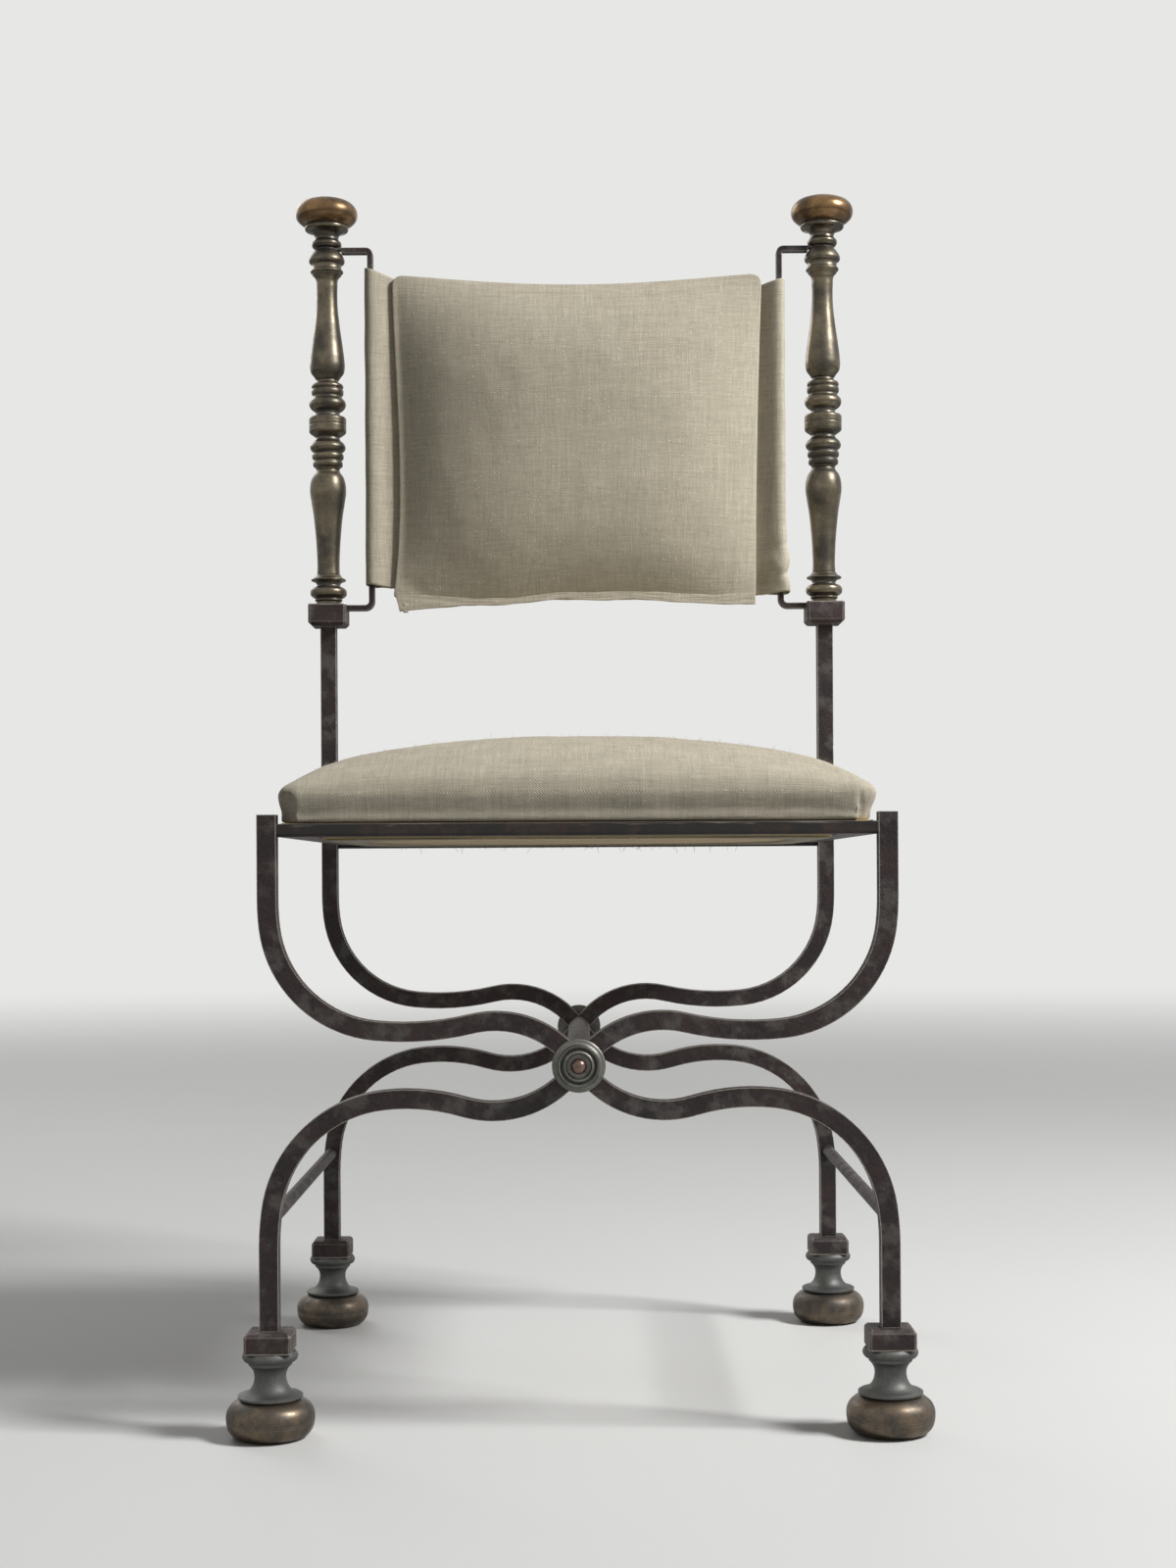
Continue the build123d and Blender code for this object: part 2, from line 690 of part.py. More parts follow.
def back_strap(side):
    """Flat iron bent to a bracket: its lower eye is let into the block, its upper eye lies on the collar."""
    low = POST_BLOCK_TOP - STRAP_THICKNESS / 2
    high = UPPER_ARM_Z + STRAP_THICKNESS / 2
    corners = ((0, low), (-STRAP_INSET, low), (-STRAP_INSET, high), (-UPPER_EYE_REACH, high))
    path = FilletPolyline(*corners, radius=(STRAP_BEND_RADIUS, STRAP_TOP_BEND_RADIUS))
    strap = extrude(Plane.XZ * trace(path, STRAP_THICKNESS), STRAP_DEPTH / 2, both=True)
    strap += Pos(0, 0, low) * Cylinder(STRAP_EYE_DIAMETER / 2, STRAP_THICKNESS)
    tab_length = UPPER_EYE_REACH + STRAP_THICKNESS
    eye_z = FINIAL_Z - UPPER_EYE_THICKNESS / 2
    strap += Pos(-tab_length / 2, 0, eye_z) * Box(tab_length, STRAP_DEPTH, UPPER_EYE_THICKNESS)
    strap += Pos(0, 0, eye_z) * Cylinder(STRAP_EYE_DIAMETER / 2, UPPER_EYE_THICKNESS)
    strap -= blind_bore(SPIGOT_BORE, low - STRAP_THICKNESS, high + STRAP_THICKNESS)
    if side == "left":
        strap = mirror(strap, Plane.YZ)
    return at_post(side, strap)


# ---------------------------------------------------------------------------------------------
# Upholstered back
# ---------------------------------------------------------------------------------------------


def back_sling():
    """Cloth panel between the straps, with a sewn sleeve round each strap."""
    edge = STRAP_X + STRAP_THICKNESS / 2 + SLEEVE_CLEARANCE + SLING_CLOTH
    back_y = FRAME_Y + STRAP_DEPTH / 2 + SLEEVE_CLEARANCE + SLING_CLOTH
    height = SLING_TOP_Z - SLING_BOTTOM_Z
    panel = Pos(0, (SLING_FRONT_Y + SLOT_FRONT_Y) / 2, 0) * Box(2 * edge, SLING_PANEL, height)
    for side in SIDES.values():
        sleeve_x = side * (edge - SLEEVE_WIDTH / 2)
        sleeve_depth = back_y - SLOT_FRONT_Y
        sleeve = Pos(sleeve_x, SLOT_FRONT_Y + sleeve_depth / 2, 0) * Box(SLEEVE_WIDTH, sleeve_depth, height)
        slot_width = SLEEVE_WIDTH - 2 * SLING_CLOTH
        slot = Pos(sleeve_x, FRAME_Y, 0) * Box(slot_width, STRAP_DEPTH + 2 * SLEEVE_CLEARANCE, 2 * height)
        panel += sleeve - slot
    return Pos(0, 0, (SLING_BOTTOM_Z + SLING_TOP_Z) / 2) * panel


def back_cushion():
    bottom = SLING_BOTTOM_Z - CUSHION_HANG
    top = SLING_TOP_Z - CUSHION_TOP_DROP
    pillow = Box(CUSHION_WIDTH, CUSHION_THICKNESS, top - bottom)
    pillow = fillet(pillow.faces().sort_by(Axis.Y)[0].edges(), CUSHION_EDGE_ROUND)
    return Pos(0, SLING_FRONT_Y - CUSHION_THICKNESS / 2, (bottom + top) / 2) * pillow


# ---------------------------------------------------------------------------------------------
# All pieces, one STEP file each
# ---------------------------------------------------------------------------------------------

pieces = {
    "centre_axle": centre_axle(),
    "seat_board": seat_board(),
    "seat_pad": seat_pad(),
    "back_sling": back_sling(),
    "back_cushion": back_cushion(),
}

for end in ENDS:
    pieces[f"{end}_boss"] = boss(end)
    pieces[f"{end}_cap_nut"] = cap_nut(end)
    pieces[f"{end}_seat_rail"] = end_rail(end)
    bars = halved_pair(end)
    for side in SIDES:
        pieces[f"{end}_{side}_leg_bar"] = leg_bar(bars[side], side, end)
        pieces[f"{end}_{side}_ankle_block"] = at_leg(side, end, ankle_block())
        pieces[f"{end}_{side}_foot_neck"] = at_leg(side, end, foot_neck())
        pieces[f"{end}_{side}_foot_bun"] = at_leg(side, end, foot_bun())

for side in SIDES:
    pieces[f"{side}_stretcher"] = stretcher(side)
    pieces[f"{side}_seat_rail"] = side_rail(side)
    pieces[f"{side}_back_strap"] = back_strap(side)
    pieces[f"{side}_post_block"] = at_post(side, post_block(side))
    pieces[f"{side}_post_base_ring"] = at_post(side, post_base_ring())
    pieces[f"{side}_post_lower_baluster"] = at_post(side, post_lower_baluster())
    pieces[f"{side}_post_ring_stack"] = at_post(side, post_ring_stack())
    pieces[f"{side}_post_upper_baluster"] = at_post(side, post_upper_baluster())
    pieces[f"{side}_post_top_collar"] = at_post(side, post_top_collar())
    pieces[f"{side}_finial"] = at_post(side, finial())

for name, shape in pieces.items():
    export_step(shape, f"parts/{name}.step")
    print(f"{name}: {shape.volume:.0f} mm3")
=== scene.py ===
# %% [markdown]
# # A savonarola chair: iron, bronze, brass and linen
#
# The frame of this chair comes from a CAD model: every bar, foot and turned piece is already the right
# size and in the right place. What is left for Blender is how things look. The metal needs its
# patina and its worn edges, and the soft parts need to be cloth: a tight seat, a stuffed back and a
# panel that hangs on two iron straps by its sleeves.
#
# The lesson runs from the camera and the light, through the finishes, to the upholstery.

import math
import random

import bmesh
import bpy
import numpy as np
from mathutils import Matrix, Vector, noise


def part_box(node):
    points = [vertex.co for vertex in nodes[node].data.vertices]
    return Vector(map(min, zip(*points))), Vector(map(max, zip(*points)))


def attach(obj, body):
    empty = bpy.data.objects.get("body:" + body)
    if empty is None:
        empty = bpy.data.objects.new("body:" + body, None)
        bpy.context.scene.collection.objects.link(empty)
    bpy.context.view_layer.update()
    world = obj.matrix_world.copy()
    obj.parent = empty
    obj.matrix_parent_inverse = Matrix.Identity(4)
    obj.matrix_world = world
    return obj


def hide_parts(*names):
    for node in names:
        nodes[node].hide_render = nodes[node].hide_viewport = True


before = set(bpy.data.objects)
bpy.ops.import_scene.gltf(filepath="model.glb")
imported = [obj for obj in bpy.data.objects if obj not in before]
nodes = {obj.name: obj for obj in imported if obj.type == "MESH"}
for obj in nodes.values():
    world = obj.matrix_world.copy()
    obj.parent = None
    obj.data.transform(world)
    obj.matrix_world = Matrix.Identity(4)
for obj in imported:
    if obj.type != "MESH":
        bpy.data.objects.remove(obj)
for start_up in ("Cube", "Light", "Camera"):
    if start_up in bpy.data.objects:
        bpy.data.objects.remove(bpy.data.objects[start_up])
bpy.context.view_layer.update()
MM = 0.001


def add_object(name, data):
    """An object for a mesh, a lamp or a camera, placed in the scene."""
    made = bpy.data.objects.new(name, data)
    bpy.context.scene.collection.objects.link(made)
    return made


# %% [markdown]
# ## The camera
#
# A chair's portrait is taken from low down, so that the legs stand tall and the underside of the seat
# just shows. The camera is kept level and the lens is shifted up instead, as on a view camera, because
# then upright posts stay upright. The turns read like a tripod: pan first, then a touch of roll.

# %% Camera
STAND = Vector((0.0016, -1.7872, 0.3914))
PAN, ROLL = math.radians(-0.203), math.radians(-0.336)
LENS, SENSOR, RISE = 52.07, 36, 0.05825
lens_data = bpy.data.cameras.new("portrait")
lens_data.lens, lens_data.sensor_width, lens_data.shift_y = LENS, SENSOR, RISE
camera = add_object("portrait", lens_data)
turn = Matrix.Rotation(PAN, 4, "Z") @ Matrix.Rotation(math.pi / 2, 4, "X") @ Matrix.Rotation(ROLL, 4, "Z")
camera.matrix_world = Matrix.Translation(STAND) @ turn
bpy.context.scene.camera = camera
print("camera at", tuple(camera.location), "lens", lens_data.lens)

# %% [markdown]
# ## Tools for node graphs
#
# A finish is a graph of nodes, and so is the light of the world. Written out node by node, each graph
# gets long. So a small class holds one graph and has a short word for every kind of node that is needed
# more than once. All of them go through `set`, which types a plain value into a socket, and links an
# output of another node to it.

# %% Graph
class Graph:
    """A shader node tree, with short words for common nodes."""

    def __init__(self, tree):
        self.tree = tree

    def set(self, socket, value):
        if isinstance(value, bpy.types.NodeSocket):
            self.tree.links.new(value, socket)
        else:
            socket.default_value = (*value, 1) if socket.type == "RGBA" and len(value) == 3 else value

    def put(self, kind, inputs=None, **options):
        """Make a node. Inputs map a socket's name or number to a value or to another node's output."""
        made = self.tree.nodes.new("ShaderNode" + kind)
        for name, value in options.items():
            setattr(made, name, value)
        for name, value in (inputs or {}).items():
            self.set(made.inputs[name], value)
        return made

    def math(self, operation, a, b=0.0, clamp=False):
        return self.put("Math", {0: a, 1: b}, operation=operation, use_clamp=clamp).outputs[0]

    def plus(self, a, b, clamp=False):
        return self.math("ADD", a, b, clamp)

    def minus(self, a, b):
        return self.math("SUBTRACT", a, b)

    def times(self, a, b, clamp=False):
        return self.math("MULTIPLY", a, b, clamp)

    def total(self, *parts):
        """The sum of (value, weight) pairs."""
        result = self.times(*parts[0])
        for part in parts[1:]:
            result = self.plus(result, self.times(*part))
        return result

    def step(self, value, low, high, to_low=0.0, to_high=1.0):
        """A smooth step of value from low..high to to_low..to_high."""
        inputs = {"Value": value, "From Min": low, "From Max": high, "To Min": to_low, "To Max": to_high}
        return self.put("MapRange", inputs, interpolation_type="SMOOTHSTEP").outputs[0]

    def grade(self, mask, low, high):
        """A number that goes from low to high with the mask."""
        return self.put("MapRange", {"Value": mask, "To Min": low, "To Max": high}).outputs[0]

    def mix(self, mask, a, b):
        """Colour a where the mask is 0 and b where it is 1."""
        return self.put("Mix", {0: mask, 6: a, 7: b}, data_type="RGBA").outputs[2]

    def noise(self, at, scale, detail=2.0, **more):
        return self.put("TexNoise", {"Vector": at, "Scale": scale, "Detail": detail, **more}).outputs[0]

    def place(self):
        """The piece's own coordinates, in metres."""
        return self.put("TexCoord").outputs["Object"]

    def stretched(self, at, scale):
        return self.put("Mapping", {"Vector": at, "Scale": scale}).outputs[0]

    def height(self, at):
        return self.put("SeparateXYZ", {"Vector": at}).outputs["Z"]

    def bump(self, height, strength, distance):
        return self.put("Bump", {"Height": height, "Strength": strength, "Distance": distance}).outputs[0]

    def blend(self, share, a, b):
        """Shader node a where the share is 0 and b where it is 1."""
        return self.put("MixShader", {0: share, 1: a.outputs[0], 2: b.outputs[0]}).outputs[0]

    def use(self, group, at, **numbers):
        """Place a group and return its outputs."""
        return self.put("Group", {"Vector": at, **numbers}, node_tree=group).outputs

    def mask(self, group, at, **numbers):
        """Place a group that has one output."""
        return self.use(group, at, **numbers)[0]

    def give(self, **outputs):
        """Send values out of a group."""
        end = self.tree.nodes.new("NodeGroupOutput")
        for name, value in outputs.items():
            self.set(end.inputs[name], value)

    def feed(self, **sockets):
        """Fill sockets of the Principled BSDF; an underscore stands for a space."""
        for name, value in sockets.items():
            self.set(self.tree.nodes["Principled BSDF"].inputs[name.replace("_", " ")], value)


def new_group(name, outputs, **numbers):
    """A group that takes a Vector and some numbers with their defaults. Returns its graph and its inputs."""
    tree = bpy.data.node_groups.new(name, "ShaderNodeTree")
    tree.interface.new_socket(name="Vector", in_out="INPUT", socket_type="NodeSocketVector")
    for socket, default in numbers.items():
        made = tree.interface.new_socket(name=socket, in_out="INPUT", socket_type="NodeSocketFloat")
        made.default_value = default
    for socket in outputs:
        tree.interface.new_socket(name=socket, in_out="OUTPUT", socket_type="NodeSocketFloat")
    print("group", name)
    return Graph(tree), tree.nodes.new("NodeGroupInput").outputs


def new_finish(name, **constants):
    """A material with a Principled BSDF; constants are typed straight into its sockets."""
    material = bpy.data.materials.new(name)
    material.use_nodes = True
    graph = Graph(material.node_tree)
    graph.feed(**constants)
    return material, graph


print("graph helpers ready")

# %% [markdown]
# ## Light
#
# Dark iron and pale linen in one picture need light that is broad and even. A big soft lamp at the
# right gives the turned brass its long highlights, weaker ones at the left and behind open the shadows,
# and a dim world fills in the rest. What the camera and mirrors see of the world is a pale backdrop.

# %% Studio
def soft_lamp(name, place, aim, side, power):
    """A square area lamp that looks at a point."""
    data = bpy.data.lights.new(name, "AREA")
    data.size, data.energy = side, power
    lamp = add_object(name, data)
    lamp.location = place
    lamp.rotation_mode = "QUATERNION"
    lamp.rotation_quaternion = (Vector(aim) - Vector(place)).to_track_quat("-Z", "Y")


soft_lamp("key", (2.15, -0.84, 2.45), (0, 0, 0.55), 0.75, 109)
soft_lamp("fill", (-2.2, -1.9, 1.0), (0, 0, 0.5), 1.8, 1.3)
soft_lamp("back_light", (-1.5, 2.0, 2.0), (0, 0, 0.5), 1.2, 14)

# %% World
BACKDROP = (0.80, 0.80, 0.79)
DIM_DOME = (0.076, 0.077, 0.079)
world = bpy.data.worlds.new("studio")
bpy.context.scene.world = world
world.use_nodes = True
world.node_tree.nodes.clear()
g = Graph(world.node_tree)
ray = g.put("LightPath").outputs
mirrored = g.math("MAXIMUM", ray["Is Glossy Ray"], ray["Is Transmission Ray"])
seen = g.math("MAXIMUM", ray["Is Camera Ray"], mirrored)
dome_light, paper = g.put("Background", {"Color": DIM_DOME}), g.put("Background", {"Color": BACKDROP})
g.put("OutputWorld", {0: g.blend(seen, dome_light, paper)})
bpy.context.scene.view_settings.view_transform = "Standard"
print("world ready")

# %% [markdown]
# ## Shared effects
#
# Old metal has four habits, whatever the alloy. Its edges are rubbed bright, its hollows collect
# grey dirt, its colour drifts in patches, and its skin is never quite smooth. Each habit is one node
# group here. On the iron the bright edges are also a painted highlight, and on the boss and the cap
# nut the hollows get a dark painted shade in place of grey dirt. The Bevel node finds edges, because
# there the rounded normal leans away from the true one, and the Ambient Occlusion node finds hollows.

# %% Rubbed edges, which on the iron also carry a painted highlight
g, given = new_group("edge_wear_and_highlight", ["Mask"], Width=0.001, Breakup=120.0, Amount=0.5)
rounded = g.put("Bevel", {"Radius": given["Width"]}, samples=6).outputs[0]
true_normal = g.put("NewGeometry").outputs["Normal"]
agreement = g.put("VectorMath", {0: rounded, 1: true_normal}, operation="DOT_PRODUCT").outputs["Value"]
lean = g.step(agreement, 0.985, 0.90)
spots = g.noise(given["Vector"], given["Breakup"], 5.0, Roughness=0.6)
kept = g.step(g.minus(spots, g.minus(1.0, given["Amount"])), -0.12, 0.12)
g.give(Mask=g.times(lean, kept, clamp=True))
edge_wear_and_highlight = g.tree

# %% Dust in hollows, and on the boss and nut a painted shade
g, given = new_group("hollow_dust_and_shade", ["Mask"], Reach=0.006, Breakup=200.0, Amount=0.6)
open_sky = g.put("AmbientOcclusion", {"Distance": given["Reach"]}, samples=8, only_local=True).outputs["AO"]
shut_in = g.step(open_sky, 0.92, 0.45)
uneven = g.grade(g.noise(given["Vector"], given["Breakup"], 4.0), 0.55, 1.35)
g.give(Mask=g.times(g.times(shut_in, uneven), given["Amount"], clamp=True))
hollow_dust_and_shade = g.tree

# %% Patches
g, given = new_group("patches", ["Mask"], Scale=30.0, Level=0.5, Softness=0.08)
cloud = g.noise(given["Vector"], given["Scale"], 7.0, Roughness=0.62)
g.give(Mask=g.step(g.math("DIVIDE", g.minus(cloud, given["Level"]), given["Softness"]), -1.0, 1.0))
patches = g.tree

# %% Metal skin
g, given = new_group("metal_skin", ["Height"], Hammer=90.0, Pits=0.4)
cells = g.put("TexVoronoi", {"Vector": given["Vector"], "Scale": 420.0, "Randomness": 1.0}).outputs
pit = g.times(g.step(cells["Distance"], 0.0, 0.22, 1.0, 0.0), given["Pits"])
waves, grit = g.noise(given["Vector"], given["Hammer"]), g.noise(given["Vector"], 1400.0, 3.0)
g.give(Height=g.minus(g.plus(waves, g.times(grit, 0.18)), pit))
metal_skin = g.tree

# %% [markdown]
# ## Iron
#
# The bars, blocks, straps and rails are wrought iron that went black in the forge and has since gone
# brown and faintly purple where damp got in. Hands and floor cloths have drawn a thin bright line
# along the arrises, and the pale edge colour is also a painted highlight there. So the colour is built
# in layers: black scale, then brown, then grey bloom, and last the pale edge, bare metal and painted
# highlight in one, which is the most metallic.

# %% Iron finish
def iron_finish(name, scale, brown, edge_amount, edge_width=0.0013):
    """scale and brown are its two dark colours; the last two numbers are the amount and width of the pale
    edge: bare metal with a painted highlight.
    """
    material, g = new_finish(name, Specular_IOR_Level=0.4)
    at = g.place()
    rust = g.mask(patches, at, Scale=26.0, Level=0.52, Softness=0.13)
    grey = g.mask(patches, at, Scale=60.0, Level=0.56, Softness=0.09)
    fine = g.mask(patches, at, Scale=420.0, Level=0.5, Softness=0.16)
    fleck = g.mask(patches, at, Scale=760.0, Level=0.60, Softness=0.05)
    edge = g.mask(edge_wear_and_highlight, at, Width=edge_width, Breakup=70.0, Amount=edge_amount)
    colour = g.mix(rust, scale, brown)
    colour = g.mix(g.times(fine, 0.35), colour, (0.060, 0.040, 0.037))
    colour = g.mix(g.times(grey, 0.58), colour, (0.140, 0.130, 0.120))
    colour = g.mix(g.times(fleck, 0.22), colour, (0.150, 0.135, 0.125))
    # The pale edge colour is worn bare metal plus a painted highlight along the arrises.
    colour = g.mix(edge, colour, (0.50, 0.455, 0.395))
    rough = g.minus(g.grade(fine, 0.50, 0.70), g.times(edge, 0.18))
    skin = g.mask(metal_skin, at, Hammer=210.0, Pits=0.55)
    g.feed(Base_Color=colour, Metallic=g.grade(edge, 0.22, 0.70))
    g.feed(Roughness=rough, Normal=g.bump(skin, 0.75, 0.0007))
    return material


wrought_iron = iron_finish("wrought_iron", (0.016, 0.0135, 0.0145), (0.041, 0.026, 0.026), 0.84)
block_iron = iron_finish("block_iron", (0.024, 0.018, 0.018), (0.052, 0.031, 0.031), 0.76, 0.0024)
axle_iron = iron_finish("axle_iron", (0.036, 0.028, 0.023), (0.080, 0.054, 0.042), 0.3)
print("iron:", wrought_iron.name, block_iron.name, axle_iron.name)

# %% [markdown]
# The seat rails are mill-finished angle iron, wiped with brown. Thighs and cushions have rubbed their
# top edge, so the rails get streaks of bare metal that grow towards the top, stretched along the bar.

# %% Rail finish
RUB_START, RUB_FULL = 0.4235, 0.4302


def rail_finish(name, along):
    """along is the axis the rail runs on, 0 for X and 1 for Y."""
    material, g = new_finish(name, Specular_IOR_Level=0.5)
    at = g.place()
    stretch = [260.0, 260.0, 900.0]
    stretch[along] = 34.0
    streak = g.noise(g.stretched(at, stretch), 1.0, 4.0, Roughness=0.6)
    near_top = g.step(g.height(at), RUB_START, RUB_FULL)
    rub = g.step(g.plus(streak, g.times(near_top, 0.24)), 0.70, 0.86)
    rust = g.mask(patches, at, Scale=45.0, Level=0.53, Softness=0.08)
    edge = g.mask(edge_wear_and_highlight, at, Width=0.0009, Breakup=110.0, Amount=0.82)
    bare = g.math("MAXIMUM", edge, g.times(rub, 0.55))
    colour = g.mix(rust, (0.021, 0.018, 0.017), (0.048, 0.031, 0.026))
    skin = g.mask(metal_skin, at, Hammer=120.0, Pits=0.3)
    g.feed(Base_Color=g.mix(bare, colour, (0.40, 0.355, 0.31)), Metallic=g.grade(bare, 0.3, 0.95))
    g.feed(Roughness=g.grade(bare, 0.5, 0.36), Normal=g.bump(skin, 0.4, 0.0005))
    return material


end_rail_iron = rail_finish("end_rail_iron", along=0)
side_rail_iron = rail_finish("side_rail_iron", along=1)
print("rails:", end_rail_iron.name, side_rail_iron.name)

# %% [markdown]
# ## Bronze, brass and copper
#
# The turned pieces share one recipe with different numbers: a patina over a metal, grey dust in the
# grooves, and metal that shows on the crests. On the boss and the cap nut the grooves get a near-black
# painted shade in place of the dust. A lathe leaves faint rings, so the bump has a noise that is
# stretched round the axis. The feet are the dullest, the finials the brightest, since every hand that
# moves the chair takes hold of them.

# %% Turned metal finish
def turned_finish(
    name, colours, bared=0.5, polish=0.38, dull=0.54, dust_and_shade_amount=0.5, reach=0.006, scale=38.0, edge_amount=0.6, cap=None
):
    """colours are metal, patina and the hollow colour: grey dust, but a dark painted shade on boss and nut.
    cap is (height, metal, patina) for what lies above that height.
    """
    metal, patina, dust_and_shade = colours
    material, g = new_finish(name)
    at = g.place()
    bare = g.mask(patches, at, Scale=scale, Level=1.0 - bared, Softness=0.16)
    freckle = g.mask(patches, at, Scale=620.0, Level=0.52, Softness=0.10)
    edge = g.mask(edge_wear_and_highlight, at, Width=0.0012, Breakup=150.0, Amount=edge_amount)
    # Mask of the hollows: grey dust on most pieces, a dark painted shade on the boss and the nut.
    dust_and_shade_mask = g.mask(hollow_dust_and_shade, at, Reach=reach, Breakup=240.0, Amount=dust_and_shade_amount)
    if cap:
        above = g.step(g.height(at), cap[0] - 0.0006, cap[0] + 0.0006)
        metal, patina = g.mix(above, metal, cap[1]), g.mix(above, patina, cap[2])
    rubbed = g.math("MAXIMUM", g.times(bare, 0.85), edge)
    shown = g.times(rubbed, g.minus(1.0, dust_and_shade_mask))
    colour = g.mix(rubbed, patina, metal)
    colour = g.mix(g.times(freckle, 0.22), colour, (0.035, 0.030, 0.026))
    g.feed(Base_Color=g.mix(dust_and_shade_mask, colour, dust_and_shade), Metallic=g.grade(dust_and_shade_mask, 0.90, 0.12))
    lathe_marks = g.noise(g.stretched(at, (14.0, 14.0, 2400.0)), 1.0)
    skin = g.mask(metal_skin, at, Hammer=110.0, Pits=0.22)
    height = g.plus(skin, g.times(lathe_marks, 0.22))
    g.feed(Roughness=g.grade(shown, dull, polish), Normal=g.bump(height, 0.35, 0.0004))
    return material


POST_COLOURS = (0.215, 0.178, 0.122), (0.073, 0.066, 0.052), (0.094, 0.099, 0.104)
FOOT_COLOURS = (0.165, 0.160, 0.142), (0.112, 0.116, 0.112), (0.135, 0.142, 0.138)
BUN_COLOURS = (0.190, 0.145, 0.100), (0.078, 0.070, 0.061), (0.092, 0.092, 0.086)
# The third colour of the boss and the cap nut is near black: a painted shade in their hollows.
BOSS_COLOURS = (0.200, 0.195, 0.172), (0.125, 0.127, 0.115), (0.036, 0.036, 0.033)
NUT_COLOURS = (0.25, 0.160, 0.135), (0.095, 0.066, 0.060), (0.040, 0.034, 0.030)
GOLDEN_CAP = (0.9602, (0.33, 0.195, 0.085), (0.098, 0.063, 0.036))
post_brass = turned_finish("post_brass", POST_COLOURS, polish=0.28, dull=0.44, dust_and_shade_amount=0.9)
finial_brass = turned_finish("finial_brass", POST_COLOURS, 0.47, 0.22, 0.38, dust_and_shade_amount=0.7, cap=GOLDEN_CAP)
foot_bronze = turned_finish("foot_bronze", FOOT_COLOURS, 0.42, 0.40, 0.60, dust_and_shade_amount=0.7, reach=0.012)
bun_bronze = turned_finish("bun_bronze", BUN_COLOURS, 0.47, 0.32, scale=60.0, edge_amount=0.7)
boss_bronze = turned_finish("boss_bronze", BOSS_COLOURS, dust_and_shade_amount=0.75, reach=0.0025, scale=90.0)
nut_copper = turned_finish("nut_copper", NUT_COLOURS, 0.6, 0.24, 0.42, reach=0.004, scale=160.0)
print("turned metals ready")

# %% [markdown]
# ## Plywood
#
# Underneath, the loose seat is a plain board. Its face veneer is tan with long grain from side to
# side: a noise that is stretched along X, plus a finer one for the pores.

# %% Plywood finish
plywood, g = new_finish("plywood", Roughness=0.62, Specular_IOR_Level=0.35)
grain = g.noise(g.stretched(g.place(), (5.0, 75.0, 220.0)), 1.0, 5.0, Distortion=0.6)
pores = g.noise(g.stretched(g.place(), (60.0, 1300.0, 1300.0)), 1.0)
colour = g.mix(g.step(grain, 0.30, 0.72), (0.66, 0.490, 0.255), (0.83, 0.665, 0.380))
colour = g.mix(g.step(pores, 0.60, 0.78, 0.0, 0.5), colour, (0.27, 0.175, 0.09))
g.feed(Base_Color=colour, Normal=g.bump(pores, 0.25, 0.0003))
print("plywood ready")

# %% [markdown]
# ## Linen
#
# Upholstery linen in a twill: the threads step over each other, so fine ridges run down to the right.
# The yarn is uneven, which gives streaks both ways and, here and there, a slub. The pattern reads an
# attribute called `weave`, two lengths measured along the cloth in metres, so that it bends round an
# edge with the cloth instead of being cut through by it.

# %% Yarns
def yarns(g, across, along, pitch, length, detail=2.0):
    """Unevenness of parallel yarns: each one reads the noise along its length at a place of its own."""
    number = g.math("FLOOR", g.math("DIVIDE", across, pitch))
    chance = g.put("TexWhiteNoise", {"W": number}, noise_dimensions="1D").outputs["Value"]
    place = g.put("CombineXYZ", {"X": g.times(chance, 700.0), "Y": g.math("DIVIDE", along, length)})
    return g.minus(g.noise(place.outputs[0], 1.0, detail, Roughness=0.55), 0.5)


print("yarns ready")

# %% Weave group
g, given = new_group("linen_weave", ["Height", "Tone", "Slub"], Twill=0.0020, Rib=1.0)
at = given["Vector"]
split = g.put("SeparateXYZ", {"Vector": at}).outputs
across, along = split["X"], split["Y"]
turns = g.plus(g.math("DIVIDE", g.plus(across, along), given["Twill"]), g.times(g.noise(at, 70.0), 1.3))
worn = g.step(g.noise(at, 42.0, 4.0, Roughness=0.65), 0.36, 0.66, 0.2, 1.15)
twill = g.times(g.times(g.math("SINE", g.times(turns, 2 * math.pi)), worn), given["Rib"])
fine = g.plus(yarns(g, across, along, 0.00062, 0.020), yarns(g, along, across, 0.00060, 0.016))
thick = g.plus(yarns(g, across, along, 0.0017, 0.110, 1.0), yarns(g, along, across, 0.0019, 0.090, 1.0))
warp_slub = g.step(yarns(g, across, along, 0.00100, 0.0036, 0.0), 0.25, 0.31)
weft_slub = g.step(yarns(g, along, across, 0.00095, 0.0044, 0.0), 0.25, 0.31)
slub = g.math("MAXIMUM", warp_slub, weft_slub)
seed = g.step(yarns(g, across, along, 0.0013, 0.0016, 0.0), -0.26, -0.31)
tone = g.total((fine, 1.05), (thick, 0.42), (twill, 0.105), (seed, -0.55))
height = g.total((twill, 0.38), (fine, 0.9), (slub, 1.3))
g.give(Height=height, Tone=g.plus(tone, 0.5, clamp=True), Slub=slub)
linen_weave = g.tree


